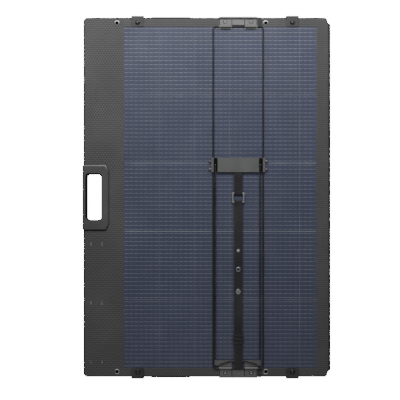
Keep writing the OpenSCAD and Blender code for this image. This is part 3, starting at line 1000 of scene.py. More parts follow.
    def finish(self, name: str, place: Place, slot: Slot, body: str = "",
               replaces: Sequence[str] = (), bevel: float = 0.0, segments: int = 2,
               ride: bool = True) -> bpy.types.Object:
        """Makes the object, in the row frame, with its finish and body.

        Args:
            name: The piece's name.
            place: The frame that the shape was built in.
            slot: Finish and record slot.
            body: Body it rides on, or the place's section.
            replaces: Nodes it stands for.
            bevel: Width of a bevel on its sharp edges, in millimetres.
            segments: Steps of that bevel.
            ride: False for a piece that rides on no body.

        Returns:
            The new object.
        """
        self.bm.transform(place.matrix)
        if place.matrix.determinant() < 0:
            bmesh.ops.reverse_faces(self.bm, faces=self.bm.faces[:])
        mesh = bpy.data.meshes.new(name)
        self.bm.to_mesh(mesh)
        self.bm.free()
        mesh.materials.append(slot.value.build())
        mesh.shade_smooth()
        mesh.set_sharp_from_angle(angle=SHARP_ANGLE)
        piece = bpy.data.objects.new(name, mesh)
        bpy.context.scene.collection.objects.link(piece)
        if bevel:
            mod = piece.modifiers.new("soft_edges", "BEVEL")
            mod.width = bevel * MM
            mod.segments = segments
            mod.limit_method = "ANGLE"
            mod.angle_limit = BEVEL_ANGLE
        mod = piece.modifiers.new("even_normals", "WEIGHTED_NORMAL")
        mod.keep_sharp = True
        if ride:
            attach(piece, body or place.section)
        if replaces:
            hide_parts(*replaces)
        LOG.info("%s: %d faces", name, len(mesh.polygons))
        return piece


def dress(node: str, slot: Slot) -> None:
    """Gives a frame node, whose shape is right, its finish.

    Args:
        node: The node's full name.
        slot: Its finish and record slot.
    """
    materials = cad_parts[node].data.materials
    for index in range(len(materials)):
        materials[index] = slot.value.build()
    if not materials:
        materials.append(slot.value.build())
    LOG.info("%s: dressed", node)


def soft_copy(place: Place, part: str, slot: Slot, bevel: float, body: str = "",
              segments: int = 2) -> bpy.types.Object:
    """A merged copy of a section's node with soft edges, which stands for the node.

    Args:
        place: The section's frame.
        part: The node, without the section's name.
        slot: Its finish and record slot.
        bevel: Width of the soft edge.
        body: Body it rides on, or the section.
        segments: Steps of the soft edge.

    Returns:
        The new object.
    """
    node = place.node(part)
    return Shape.of_node(node, place).finish(f"{node}_skin", place, slot, body, [node], bevel,
                                             segments)


# ---- sub-assemblies ----


@dataclass
class SectionSheets:
    """A section's fabric faces, laminate, board, eyelets, hem, bar tacks and elastic loops."""

    place: Place
    edge_x: float = 330.0
    edge_y: float = 483.0
    face_w: float = 1.6
    eyelet_x: tuple[float, float] = (-240.7, 160.3)
    eyelet_y: float = 470.0
    tack_x: tuple[float, float] = (-311.0, -281.0)
    tack_y: tuple[float, ...] = (-126.0, -285.0, -444.0)
    tack_threads: int = 9
    tack_pitch: float = 1.1

    def outline(self, out: float) -> list[Point]:
        """The section's outline, grown outwards.

        Args:
            out: How far it grows.

        Returns:
            The outline's points.
        """
        x, y = self.edge_x, self.edge_y
        corner = rounded((-x, -y), (x, y), 10.0)
        left = [p for p in corner if p[0] < 0]
        right = [(x - 10, -y), (x - 5, -y + 5), (x - 4.5, -y + 11), (x, -y + 17),
                 (x, y - 17), (x - 4.5, y - 11), (x - 5, y - 5), (x - 10, y)]
        return inset(right + left, -out)

    def build(self) -> None:
        """Makes and dresses every sheet piece."""
        soft_copy(self.place, "cover_outer", Slot.cover_fabric, 0.35)
        soft_copy(self.place, "cover_inner", Slot.cover_fabric, 0.3)
        dress(self.place.node("core_sheet"), Slot.clear_laminate)
        dress(self.place.node("edge_board"), Slot.stiffener)
        self.hem()
        self.eyelets()
        self.tacks()
        self.cable_loops()

    def hem(self) -> None:
        """Binding tape round the section's edge, folded over both faces."""
        w = self.face_w
        rings = ((-2.4, w - 0.1), (-2.2, w + 0.18), (0.4, w + 0.24), (1.2, w - 0.4), (1.2, 0.4 - w),
                 (0.4, -w - 0.24), (-2.4, -w - 0.18), (-2.6, 0.1 - w))
        shape = Shape().loft([(self.outline(out), level) for out, level in rings])
        shape.finish(self.place.node("hem_binding"), self.place, Slot.hem)

    def eyelets(self) -> None:
        """Curled eyelets, one flange on each face, and a near-black sleeve in each hole as painted
        shade.
        """
        node = self.place.node("eyelets")
        low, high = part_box(node)
        centre = (self.place.matrix.inverted() @ ((low + high) / 2)).x
        shift = centre - sum(self.eyelet_x) / 2
        w = self.face_w
        profile = [(2.95, 0.0), (2.95, w + 0.5), (3.2, w + 0.95), (3.9, w + 1.1), (5.2, w + 0.95),
                   (6.6, w + 0.5), (7.0, w + 0.1), (6.8, w), (4.15, w), (4.15, 0.0)]
        back = [(r, -level) for r, level in reversed(profile)]
        # Near-black sleeve inside the eyelet: painted shade of the hole's depth.
        lining_with_painted_shade = [(2.6, 0.0), (2.6, w + 1.0), (4.0, w + 1.3), (4.4, w + 1.15), (3.0, w + 0.6),
                  (3.0, 0.0)]
        behind = [(r, -level) for r, level in reversed(lining_with_painted_shade)]
        shape, inside = Shape(), Shape()
        for x in self.eyelet_x:
            for side in (-1, 1):
                shape.turned(profile + back[1:], x + shift, side * self.eyelet_y, 40)
                inside.turned(lining_with_painted_shade + behind[1:], x + shift, side * self.eyelet_y, 40)
        inside.finish(self.place.node("eyelet_linings"), self.place, Slot.seam)
        shape.finish(node + "_curled", self.place, Slot.eyelet_metal, replaces=[node])

    def tacks(self) -> None:
        """Bar tacks on the outer face that hold the elastic loops behind."""
        shape = Shape()
        for x in self.tack_x:
            for y in self.tack_y:
                for index in range(self.tack_threads):
                    spot = y + (index - (self.tack_threads - 1) / 2) * self.tack_pitch
                    lean = 0.25 if index % 2 else -0.25
                    shape.block((x - 2.2 + lean, spot - 0.42, self.face_w - 0.1),
                                (x + 2.2 + lean, spot + 0.42, self.face_w + 0.42), 0.2, 2)
        shape.finish(self.place.node("bar_tacks"), self.place, Slot.thread)

    def cable_loops(self) -> None:
        """Elastic loops for the lead, on the inner face between the bar tacks."""
        shape = Shape()
        left, right = self.tack_x
        base = -self.face_w - 0.45
        for y in self.tack_y:
            path = [(left - 4, base), (left + 4, base), (left + 9, base - 0.9),
                    (right - 9, base - 0.9), (right - 4, base), (right + 4, base)]
            shape.band(path, y - 6, y + 6, 0.8, 4, 2.0, "X")
        shape.finish(self.place.node("elastic_loops"), self.place, Slot.elastic)


@dataclass
class CellField:
    """Cells, their contact wires and pads on both faces, ribbons and the clear film."""

    place: Place
    window_x: tuple[float, float] = (-222.0, 298.0)
    window_y: float = 460.0
    rows: int = 5
    wires: int = 17
    wire_pitch: float = 10.8
    pad_pitch: float = 13.4
    cell_pitch: float = 94.6
    strong_gaps: tuple[int, ...] = (2, 3)
    gap_width: tuple[float, float] = (0.9, 2.0)

    def build(self) -> None:
        """Dresses the cells and makes the wires, pads and gap ribbons."""
        self.layer("cells", Slot.cells, 0.09, 0.35, 0.05)
        self.layer("bus_ribbons", Slot.ribbon, 0.1, 0.33, 0.05)
        self.layer("back_film", Slot.clear_film, 0.48, 0.88, 0.05)
        for label, w in (("outer", 0.34), ("inner", 0.03)):
            self.wire_field(label, w)
        self.gap_ribbons()

    def layer(self, part: str, slot: Slot, w0: float, w1: float, bevel: float) -> None:
        """A copy of one layer of the laminate, kept clear of the layers beside it.

        Args:
            part: The node it stands for.
            slot: Its finish.
            w0: Lower height of the copy.
            w1: Upper height of the copy.
            bevel: Width of the bevel on its edges.
        """
        node = self.place.node(part)
        shape = Shape.of_node(node, self.place)
        middle = sum(vert.co.z for vert in shape.bm.verts) / len(shape.bm.verts)
        for vert in shape.bm.verts:
            vert.co.z = w0 if vert.co.z < middle else w1
        shape.finish(node + "_layer", self.place, slot, "", [node], bevel, 1)

    def arrayed(self, piece: bpy.types.Object, steps: Sequence[tuple[int, float, str]]) -> None:
        """Repeats a piece by constant steps along the row frame's axes.

        Args:
            piece: What is repeated.
            steps: For each repeat, its count, step and name.
        """
        for count, step, axis in steps:
            mod = piece.modifiers.new("repeat_" + axis, "ARRAY")
            mod.count = count
            mod.use_relative_offset = False
            mod.use_constant_offset = True
            mod.constant_offset_displace = (step * MM, 0, 0) if axis == "x" else (0, step * MM, 0)

    def wire_field(self, label: str, w: float) -> None:
        """Thin contact wires along x and the pads on them.

        Args:
            label: Name of the face.
            w: Lower height of the wires.
        """
        x0, x1 = self.window_x
        row = 2 * self.window_y / self.rows
        first = -self.window_y + (row - (self.wires - 1) * self.wire_pitch) / 2
        rows = [(self.wires, self.wire_pitch, "line"), (self.rows, row, "row")]
        wire = Shape().block((x0 + 1, first - 0.3, w), (x1 - 1, first + 0.3, w + 0.07), 0, 1)
        piece = wire.finish(self.place.node(f"contact_wires_{label}"), self.place, Slot.ribbon)
        self.arrayed(piece, rows)
        pad = Shape().block((x0 + 3, first - 0.55, w), (x0 + 9.6, first + 0.55, w + 0.1), 0, 1)
        piece = pad.finish(self.place.node(f"contact_pads_{label}"), self.place, Slot.solder)
        count = int((x1 - x0 - 6) // self.pad_pitch)
        self.arrayed(piece, [(count, self.pad_pitch, "x")] + rows)

    def gap_ribbons(self) -> None:
        """Cross ribbons in the gaps between the rows of cells."""
        x0, x1 = self.window_x
        row = 2 * self.window_y / self.rows
        shape = Shape()
        for gap in range(1, self.rows):
            y = -self.window_y + gap * row
            wide = self.gap_width[gap in self.strong_gaps]
            shape.block((x0 + 2, y - wide / 2, 0.2), (x1 - 2, y + wide / 2, 0.40), 0.05, 1)
        shape.finish(self.place.node("gap_ribbons"), self.place, Slot.ribbon)
        strip = Shape()
        for gap in range(self.rows + 1):
            y = -self.window_y + gap * row
            strip.block((x0, y - 2.5, 0.02), (x1, y + 2.5, 0.06), 0, 1)
        for column in range(7):
            x = min(x0 + column * self.cell_pitch, x1)
            strip.block((x - 3, -self.window_y, 0.03), (x + 3, self.window_y, 0.07), 0, 1)
        strip.finish(self.place.node("gap_strips"), self.place, Slot.gap_strip)


@dataclass
class Grip:
    """The carry grip half: two moulded shells round the hand hole, and their screws."""

    place: Place
    x0: float = -333.0
    width: float = 70.0
    length: float = 175.0
    top: float = 7.4
    bottom: float = -6.1
    hand_centre: float = -301.5
    hand_size: Point = (36.0, 121.0)
    mouth_grow: tuple[float, float, float, float] = (6.2, 2.0, 1.6, 4.2)
    notch: Point = (59.8, 77.3)
    # How far the painted shadow rim sits towards -y, below the grip.
    shadow_drop: float = 0.9
    screws: tuple[Point, ...] = ((-278.0, 69.0), (-278.0, -69.0), (-326.0, 69.0), (-326.0, -69.0))

    def outline(self, shrink: float) -> list[Point]:
        """Grip outline with clipped inner corners, moved inwards.

        Args:
            shrink: How far it moves in.

        Returns:
            The outline's points.
        """
        a, b, h = self.x0, self.x0 + self.width, self.length / 2
        corners = [(a + 3, -h), (b - 8, -h), (b, -h + 17), (b, h - 17), (b - 8, h), (a + 3, h),
                   (a, h - 3), (a, -h + 3)]
        return inset(corners, shrink)

    def tongue(self) -> list[Point]:
        """The part of the outline that fills the section's notch."""
        left, right, half = self.x0 + 0.1, self.x0 + self.notch[0], self.notch[1]
        return [(left, -half), (right, -half), (right, half), (left, half)]

    def hole(self, grow: float) -> list[Point]:
        """Outline of the hand hole, grown outwards.

        Args:
            grow: How far it grows.

        Returns:
            The outline's points.
        """
        w, h = self.hand_size[0] / 2 + grow, self.hand_size[1] / 2 + grow
        c = self.hand_centre
        return rounded((c - w, -h), (c + w, h), 7.0 + grow, 6)

    def mouth(self, part: float) -> list[Point]:
        """The hand hole's wide mouth: 0 is the hole itself and 1 the mouth's rim.

        Args:
            part: Where between hole and rim.

        Returns:
            The outline's points.
        """
        w, h, c = self.hand_size[0] / 2, self.hand_size[1] / 2, self.hand_centre
        left, right, low, high = (part * m for m in self.mouth_grow)
        return rounded((c - w - left, -h - low), (c + w + right, h + high), 7.0 + 2.5 * part, 6)

    def shell(self, part: str, face: float, seat: float) -> None:
        """One shell, from its seat on the fabric to its rounded face.

        Args:
            part: The node it stands for.
            face: Height of its face.
            seat: Height where it meets the fabric.
        """
        up = 1 if face > seat else -1
        rings = [(self.tongue(), 0.0), (self.tongue(), seat), (self.outline(0), seat + up * 0.05),
                 (self.outline(0), face - up * 2.3), (self.outline(0.4), face - up * 1.5),
                 (self.outline(3.0), face - up * 0.25), (self.outline(3.4), face - up * 0.08),
                 (self.outline(3.8), face - up * 0.03), (self.mouth(1.22), face),
                 (self.mouth(1.1), face - up * 0.1), (self.mouth(1.0), face - up * 0.5),
                 (self.hole(0.5), face - up * 4.4), (self.hole(0.5), up * 0.05)]
        node = self.place.node(part)
        Shape().loft(rings).finish(f"{node}_moulded", self.place, Slot.grip_plastic,
                                   replaces=[node])
        self.lining_with_painted_shade(node, face, up)
        self.painted_shadow_rim(node, seat, up)

    def lining_with_painted_shade(self, node: str, face: float, up: int) -> None:
        """Black lining of the hand hole and its mouth, partly painted shade: it is widest on the
        left and top, where the hole's walls fall in shade.

        Args:
            node: The shell's node.
            face: Height of the shell's face.
            up: 1 for the outer shell and -1 for the inner one.
        """
        # Black where the hole's walls would be in shade: partly a liner, partly painted shade.
        rings = [(self.mouth(1.02), face - up * 0.6), (self.mouth(1.0), face - up * 0.3),
                 (self.mouth(0.9), face - up * 0.45), (self.mouth(0.12), face - up * 3.2),
                 (self.mouth(0.0), face - up * 4.0), (self.mouth(0.0), up * 0.06),
                 (self.hole(0.6), up * 0.02), (self.hole(0.7), face - up * 4.6)]
        Shape().loft(rings).finish(f"{node}_lining", self.place, Slot.seam)

    def painted_shadow_rim(self, node: str, seat: float, up: int) -> None:
        """Painted shadow round the shell: a black rim a little proud of it, shifted towards -y so
        it is widest below the grip.

        Args:
            node: The shell's node.
            seat: Height where the shell meets the fabric.
            up: 1 for the outer shell and -1 for the inner one.
        """
        # Shifted towards -y: a painted shadow cast below the grip.
        base, hollow = ([(x, y - self.shadow_drop) for x, y in self.outline(shrink)]
                        for shrink in (-1.0, 3.0))
        rings = [(base, seat - up * 0.15), (base, seat + up * 0.9), (hollow, seat + up * 1.0),
                 (hollow, seat - up * 0.1)]
        Shape().loft(rings).finish(f"{node}_gasket", self.place, Slot.seam)

    def build(self) -> None:
        """Makes both shells and the screws."""
        self.shell("handle_outer", self.top, 1.7)
        self.shell("handle_inner", self.bottom, -1.7)
        shape = Shape()
        w = self.bottom
        for x, y in self.screws:
            shape.turned([(0.0, w + 0.9), (0.9, w + 0.9), (1.1, w - 0.02), (2.2, w - 0.02),
                          (2.75, w + 0.3), (2.8, w + 1.4), (0.0, w + 1.4)], x, y, 24)
        shape.finish(self.place.node("grip_screw_heads"), self.place, Slot.screw_steel)


@dataclass
class SnapLoops:
    """Snap loops at the section's ends and the studs they close over."""

    place: Place
    xs: tuple[float, float] = (-185.0, 232.0)
    snap_y: float = 470.3
    stud_r: float = 4.6
    leaf_top: float = 3.3
    dome_top: float = 7.4
    stud_foot: float = 1.6
    seam_x: float = 14.6
    seam_y: Point = (462.4, 480.0)

    def build(self) -> None:
        """Makes the loops with their rings and stitching, and the studs."""
        for number in range(1, 5):
            self.loop(number)
        self.studs()

    def loop(self, number: int) -> None:
        """One loop with its snap ring and stitching.

        Args:
            number: 1 and 2 at the top edge, 3 and 4 at the bottom edge.
        """
        body = self.place.node(f"snap_loop_{number}")
        soft_copy(self.place, f"loop_{number}", Slot.loop_rubber, 0.35, body)
        side = 1 if number < 3 else -1
        x = self.xs[(number - 1) % 2]
        r, w = self.stud_r, self.leaf_top
        ring = [(r + 0.5, w - 0.3), (r + 0.5, w + 0.7), (r + 0.8, w + 1.0), (r + 1.5, w + 1.05),
                (r + 2.1, w + 0.8), (r + 2.5, w + 0.2), (r + 2.4, w - 0.3), (r + 0.5, w - 0.3)]
        Shape().turned(ring, x, side * self.snap_y, 40).finish(
            self.place.node(f"loop_ring_{number}"), self.place, Slot.stud_metal, body)
        seam_x, outer, inner = self.seam_x, side * self.seam_y[1], self.seam_y[0]
        rim = Shape()
        for start, end in (((x - seam_x, outer), (x - seam_x, side * (inner + 5))),
                           ((x + seam_x, outer), (x + seam_x, side * (inner + 5))),
                           ((x - 10, side * inner), (x + 10, side * inner))):
            rim.stitches(start, end, w, 2.2, 0.5, 3.2)
        rim.finish(self.place.node(f"loop_stitching_{number}"), self.place, Slot.black_thread,
                   body)

    def studs(self) -> None:
        """Domed studs that the loops close over."""
        node = self.place.node("loop_studs")
        r, top, foot = self.stud_r, self.dome_top, self.stud_foot
        dome = [(r * math.sin(a), top - 1.9 + 1.9 * math.cos(a)) for a in
                (k * math.pi / 16 for k in range(1, 8))]
        profile = [(0.0, top)] + dome + [(r, top - 1.9), (r, top - 2.6), (r - 0.5, top - 3.0),
                                         (r - 0.5, foot), (0.0, foot)]
        shape = Shape()
        for x in self.xs:
            for side in (-1, 1):
                shape.turned(profile, x, side * self.snap_y, 40)
        shape.finish(node + "_turned", self.place, Slot.stud_metal, replaces=[node])


@dataclass
class Stand:
    """The stand on a section's outer face: brackets, wire, crossbar, prop and webbing."""

    place: Place
    rivet_spot: Point = (35.0, 473.0)
    pad_x: Point = (52.3, 63.0)
    ear_x: float = 76.2
    ear_y: Point = (96.8, 75.3)
    beam_y: Point = (67.7, 106.2)
    beam_top: float = 7.4
    bar_x: Point = (-62.0, 58.8)
    leaf_w: float = 2.6
    leaf_half: float = 51.0
    leaf_split: float = 17.0
    leaf_gap: float = 0.7
    leaf_y: Point = (463.0, 481.0)
    # Painted shadow lines under the lower and upper lip, then the hinge line, the leaf joints and
    # the rivets' painted shadow rings.
    lip_shadows: tuple[Point, Point] = ((-486.7, -484.6), (479.0, 482.3))
    hinge_seam: Point = (462.3, 463.9)
    seam_half: float = 0.8
    seam_ring: Point = (4.4, 5.6)
    # Outline of the painted shadow under one upper knuckle.
    shade: tuple[Point, ...] = ((17.5, 458.8), (21.5, 452.0), (45.0, 452.0), (50.5, 458.8))
    slot_x: Point = (56.6, 66.2)

    def build(self) -> None:
        """Makes and dresses the fixed parts of the stand."""
        node = self.place.node
        soft_copy(self.place, "brackets", Slot.bracket, 0.22)
        dress(node("wire_loop"), Slot.black_wire)
        soft_copy(self.place, "crossbar", Slot.stand_metal, 0.6, segments=3)
        soft_copy(self.place, "wire_clamps", Slot.bracket, 0.35)
        dress(node("pivot_rod"), Slot.pivot)
        self.rivets()
        self.clamp_screws()
        self.pads()
        self.joints_and_shadows()
        self.shades()
        self.slots()

    def rivets(self) -> None:
        """Tubular rivet heads with a rolled rim."""
        w = self.leaf_w
        profile = [(0.0, w + 0.1), (1.5, w + 0.1), (1.9, w + 0.55), (2.4, w + 0.85),
                   (3.2, w + 0.9), (4.0, w + 0.65), (4.5, w + 0.25), (4.6, w), (0.0, w - 0.2)]
        shape = Shape()
        x, y = self.rivet_spot
        for sx in (-1, 1):
            for sy in (-1, 1):
                shape.turned(profile, sx * x, sy * y, 32)
        node = self.place.node("rivets")
        shape.finish(node + "_rolled", self.place, Slot.rivet_metal, replaces=[node])

    def clamp_screws(self) -> None:
        """Pan head screws with a round drive recess in the clamp ears."""
        profile = [(0.0, 5.0), (0.8, 5.0), (0.95, 5.65), (1.6, 5.7), (2.2, 5.45), (2.5, 4.9),
                   (2.5, 4.3), (1.25, 4.3), (1.25, 1.9), (0.0, 1.9)]
        shape = Shape()
        for sx in (-1, 1):
            for y in self.ear_y:
                shape.turned(profile, sx * self.ear_x, y, 24)
        node = self.place.node("screws")
        shape.finish(node + "_pan_head", self.place, Slot.screw_steel, replaces=[node])

    def pads(self) -> None:
        """Folded pads over the section's edge, beside the brackets."""
        shape = Shape()
        x0, x1 = self.pad_x
        for s in (-1, 1):
            path = [(462.0, 2.15), (481.0, 2.2), (483.6, 1.9), (484.8, 1.0), (485.0, 0.0),
                    (484.8, -1.0), (483.6, -1.9), (481.0, -2.2), (474.0, -2.15)]
            shape.band([(s * y, w) for y, w in path], x0, x1, 0.9, 4, 1.5)
        shape.finish(self.place.node("edge_pads"), self.place, Slot.elastic)

    def joints_and_shadows(self) -> None:
        """Black joints between the bracket's three leaves and a dark line along the hinge, with
        painted shadows: a black line under each rolled lip and a black ring round each rivet.
        """
        shape = Shape()
        w, edge, split, gap = self.leaf_w, self.leaf_half, self.leaf_split, self.leaf_gap
        leaves = ((-edge, -split - gap), (-split + gap, split - gap), (split + gap, edge))
        joints = (-edge + 0.5, -split, split, edge - 0.5)
        inner, outer = self.seam_ring
        ring = [(inner, w - 0.1), (inner, w + 0.09), (outer, w + 0.09), (outer, w - 0.1),
                (inner, w - 0.1)]
        rivet_x, rivet_y = self.rivet_spot
        # Painted shadow: black strips under each lip's roll.
        for end, (lip_low, lip_high) in zip((-1, 1), self.lip_shadows):
            for a, b in leaves:
                shape.block((a, lip_low, w - 3.0), (b, lip_high, w + 0.08), 0.03, 1)
            low, high = sorted(end * y for y in self.hinge_seam)
            shape.block((-edge, low, w - 0.1), (edge, high, w + 0.08), 0.03, 1)
            low, high = sorted(end * y for y in self.leaf_y)
            for x in joints:
                left, right = x - self.seam_half, x + self.seam_half
                shape.block((left, low, w - 0.1), (right, high, w + 0.07), 0.03, 1)
            # Painted shadow: a black ring round each rivet head.
            for x in (-rivet_x, rivet_x):
                shape.turned(ring, x, end * rivet_y, 32)
        shape.finish(self.place.node("bracket_seams"), self.place, Slot.seam)

    def shades(self) -> None:
        """Painted shadow under the upper bracket's knuckles: dark plates in the loop rubber finish
        over the tongues.
        """
        shape = Shape()
        for side in (-1, 1):
            outline = [(side * x, y) for x, y in self.shade]
            # Dark plates standing in for the knuckles' shadow.
            shape.plate(outline, self.leaf_w - 0.4, self.leaf_w + 1.0, 0.2, 2)
        shape.finish(self.place.node("bracket_shades"), self.place, Slot.loop_rubber)

    def slots(self) -> None:
        """Painted shadow in the slots at the beam's ends: black blocks, clear of the prop's bars.
        """
        low_w, top_w = self.beam_top - 1.2, self.beam_top - 0.06
        bar_end = self.place.span("prop_bars")[1]
        half = bar_end.x - self.bar_x[1] + 0.4
        y0, y1 = self.beam_y[0] + 0.6, self.beam_y[1] - 0.6
        shape = Shape()
        # Black blocks standing in for the shadow inside each slot.
        for bar in self.bar_x:
            a, b = sorted(math.copysign(x, bar) for x in self.slot_x)
            shape.block((a, bar_end.y + 0.6, low_w), (b, y1, top_w), 0.1, 1)
            for start, end in ((a, bar - half), (bar + half, b)):
                if end - start > 0.6:
                    shape.block((start, y0, low_w), (end, bar_end.y + 0.7, top_w), 0.1, 1)
        shape.finish(self.place.node("beam_slots"), self.place, Slot.seam)


@dataclass
class Prop:
    """The swinging prop: bars, foot, webbing with its ring and snaps, and the slider."""

    place: Place
    strap_half: float = 11.0
    strap_t: float = 1.1
    strap_w: float = 5.9
    ring_y: float = -1.0
    ring_half: float = 13.75
    beam_y: float = 67.7
    rod_y: float = -460.5
    rod_w: float = 4.5
    rod_wrap: float = 2.4
    sewn_box: Point = (8.2, 15.0)
    sewn_gap: float = 10.0
    bar_stitches: Point = (57.0, 61.0)
    foot_seams: tuple[tuple[Point, Point], ...] = (
        ((-51.0, -451.0), (-22.0, -442.5)), ((-22.0, -442.5), (-11.5, -442.0)),
        ((11.5, -442.0), (22.0, -442.5)), ((22.0, -442.5), (51.0, -451.0)))
    snap_y: tuple[float, float, float] = (-143.5, -194.4, -253.9)

    def build(self) -> None:
        """Makes and dresses the moving parts of the stand."""
        place = self.place
        dress(place.node("prop_bars"), Slot.prop_metal)
        soft_copy(place, "foot_bar", Slot.foot_plate, 0.3, place.prop)
        soft_copy(place, "strap_ring", Slot.ring_metal, 0.4, place.prop, 3)
        soft_copy(place, "strap_slider", Slot.slider_plastic, 0.45, f"{place.side.value}_slider", 3)
        self.foot_line()
        self.straps()
        self.sewing()
        self.snaps()

    def foot_line(self) -> None:
        """Black sewn line along the foot's arch."""
        top = self.place.span("foot_bar")[1].z
        shape = Shape()
        for start, end in self.foot_seams:
            shape.stitches(start, end, top, 2.8, 2.2, 3.0)
        shape.finish(self.place.node("foot_line"), self.place, Slot.seam, self.place.prop)

    def ring_turn(self, up: int) -> list[Point]:
        """Path of the webbing round one bar of the ring, from the long side back under it.

        Args:
            up: 1 for the ring's upper bar and -1 for the lower one.

        Returns:
            The path's points, as (y, w).
        """
        y, h = self.ring_y, self.ring_half
        steps = ((8.2, 5.9), (5.2, 5.95), (2.4, 6.4), (0.4, 6.8), (-1.5, 6.86), (-4.2, 6.84),
                 (-5.1, 6.55), (-5.5, 5.95), (-5.1, 5.25), (-4.2, 4.9), (-1.5, 4.88), (1.0, 4.85),
                 (4.0, 4.74), (26.0, 4.72))
        return [(y + up * (h + out), w) for out, w in steps]

    def straps(self) -> None:
        """Both lengths of webbing, each laid in a fixed shape from the section to the prop."""
        place, half, t = self.place, self.strap_half, self.strap_t
        upper = [(self.beam_y + 1.0, self.strap_w)] + self.ring_turn(1)
        piece = Shape().band(upper, -half, half, t).finish(
            place.node("upper_webbing"), place, Slot.webbing, replaces=[place.node("straps")],
            ride=False)
        place.row(0, self.beam_y, self.strap_w)
        place.row(0, self.beam_y - 18, self.strap_w)
        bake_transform(piece)
        rod_y, rod_w, r = self.rod_y, self.rod_w, self.rod_wrap
        wrap = [(rod_y + r * math.cos(a), rod_w + r * math.sin(a)) for a in
                (math.pi / 2 + k * math.pi / 10 for k in range(11))]
        low = [(rod_y + 10, 2.15), (rod_y + 4, 2.15)]
        down = [(rod_y + 6, 6.35), (rod_y + 12, 6.0), (rod_y + 16, self.strap_w)]
        lower = list(reversed(self.ring_turn(-1))) + list(reversed(down)) + wrap \
            + list(reversed(low))
        piece = Shape().band(lower, -half, half, t, fine=1.2).finish(
            place.node("lower_webbing"), place, Slot.webbing, ride=False)
        place.row(0, rod_y + 4, rod_w)
        place.row(0, rod_y + 26, rod_w)
        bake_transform(piece)

    def sewing(self) -> None:
        """Stitched boxes with a cross at the ring, and bar stitches."""
        top = self.strap_w + self.strap_t / 2
        shape = Shape()
        half, length = self.sewn_box
        for up in (1, -1):
            y0 = self.ring_y + up * (self.ring_half + self.sewn_gap)
            y1 = y0 + up * length
            a, b, c, d = (-half, y0), (half, y0), (half, y1), (-half, y1)
            for start, end in ((a, b), (b, c), (c, d), (d, a), (a, c), (b, d)):
                shape.stitches(start, end, top)
        for y in self.bar_stitches:
            shape.stitches((-9.0, y), (9.0, y), top)
        shape.finish(self.place.node("strap_sewing"), self.place, Slot.black_thread,
                     self.place.prop)

    def snaps(self) -> None:
        """Press stud, socket and cap on the webbing, and a black disc of painted shade in the
        socket.
        """
        w = self.strap_w + self.strap_t / 2
        stud = [(0.0, w + 0.85), (1.5, w + 0.83), (2.0, w + 0.65), (1.9, w + 0.4), (2.3, w + 0.25),
                (3.9, w + 0.35), (4.5, w + 0.2), (4.5, w - 0.1), (0.0, w - 0.1)]
        socket = [(0.0, w + 0.1), (2.3, w + 0.1), (2.5, w + 0.75), (3.1, w + 0.85),
                  (5.2, w + 0.75), (6.2, w + 0.45), (6.5, w), (0.0, w - 0.2)]
        cap = [(0.0, w + 0.8), (5.4, w + 0.76), (6.5, w + 0.55), (6.9, w + 0.15), (6.9, w - 0.1),
               (0.0, w - 0.1)]
        pieces = (("snap_stud", stud, Slot.bright_metal), ("snap_socket", socket, Slot.snap_metal),
                  ("snap_cap", cap, Slot.snap_metal))
        for (label, profile, slot), y in zip(pieces, self.snap_y):
            nodes = [self.place.node("strap_snaps")] if label == "snap_cap" else []
            Shape().turned(profile, 0.0, y, 40).finish(
                self.place.node(label), self.place, slot, self.place.prop, nodes)
        # Black disc in the socket's centre: painted shade of its hollow.
        socket_shade = [(0.0, w + 0.16), (2.6, w + 0.16), (2.6, w - 0.1), (0.0, w - 0.1)]
        Shape().turned(socket_shade, 0.0, self.snap_y[1], 24).finish(
            self.place.node("snap_well"), self.place, Slot.seam, self.place.prop)


@dataclass
class Fold:
    """The fabric spine between the sections, and the leads inside it."""

    half_length: float = 467.5
    thickness: float = 0.9
    crease_start: Point = (3.8, 0.1)
    crease_end: Point = (0.5, 2.6)

    def build(self) -> None:
        """Makes both halves of the spine, each bent across its own crease."""
        low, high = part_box("spine_cover")
        out = high.x / MM
        middle = (low.z + high.z) / 2 / MM
        drop = middle - sheet_place(Side.REAR).matrix.translation.z / MM
        steps = ((-6.0, -0.2), (-3.0, -0.2), (-1.0, -0.1), (-0.1, 0.5), (0.35, 1.6), (0.4, 3.2),
                 (0.4, drop))
        for side in Side:
            up = 1 if side is Side.REAR else -1
            path = [(out + x, middle - up * (drop - w)) for x, w in steps]
            piece = Shape().band(path, -self.half_length, self.half_length, self.thickness, 60, 1.2,
                                 "X").finish(
                f"{side.value}_spine_fabric", ROW, Slot.spine_fabric, ride=False,
                replaces=["spine_cover"] if side is Side.REAR else [])
            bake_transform(piece)
        dress("spine_conductors", Slot.copper)


@dataclass
class JunctionBox:
    """Junction box on the rear section's inner face."""

    screw_inset: float = 6.0

    def build(self) -> None:
        """Makes the box, the lid and the lid's screws."""
        for node in ("junction_box", "junction_lid"):
            Shape.of_node(node, ROW).finish(node + "_moulded", ROW, Slot.box_plastic,
                                            "rear_section", [node], 0.5, 3)
        low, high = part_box("junction_lid")
        top = high.z / MM
        shape = Shape()
        for x in (low.x / MM + self.screw_inset, high.x / MM - self.screw_inset):
            for y in (low.y / MM + self.screw_inset, high.y / MM - self.screw_inset):
                shape.turned([(0.0, top - 0.1), (0.8, top - 0.1), (1.0, top + 0.35),
                              (1.8, top + 0.4), (2.4, top + 0.15), (2.5, top - 0.2),
                              (0.0, top - 0.3)], x, y, 24)
        shape.finish("junction_lid_screws", ROW, Slot.screw_steel, "rear_section")


# ---- studio ----


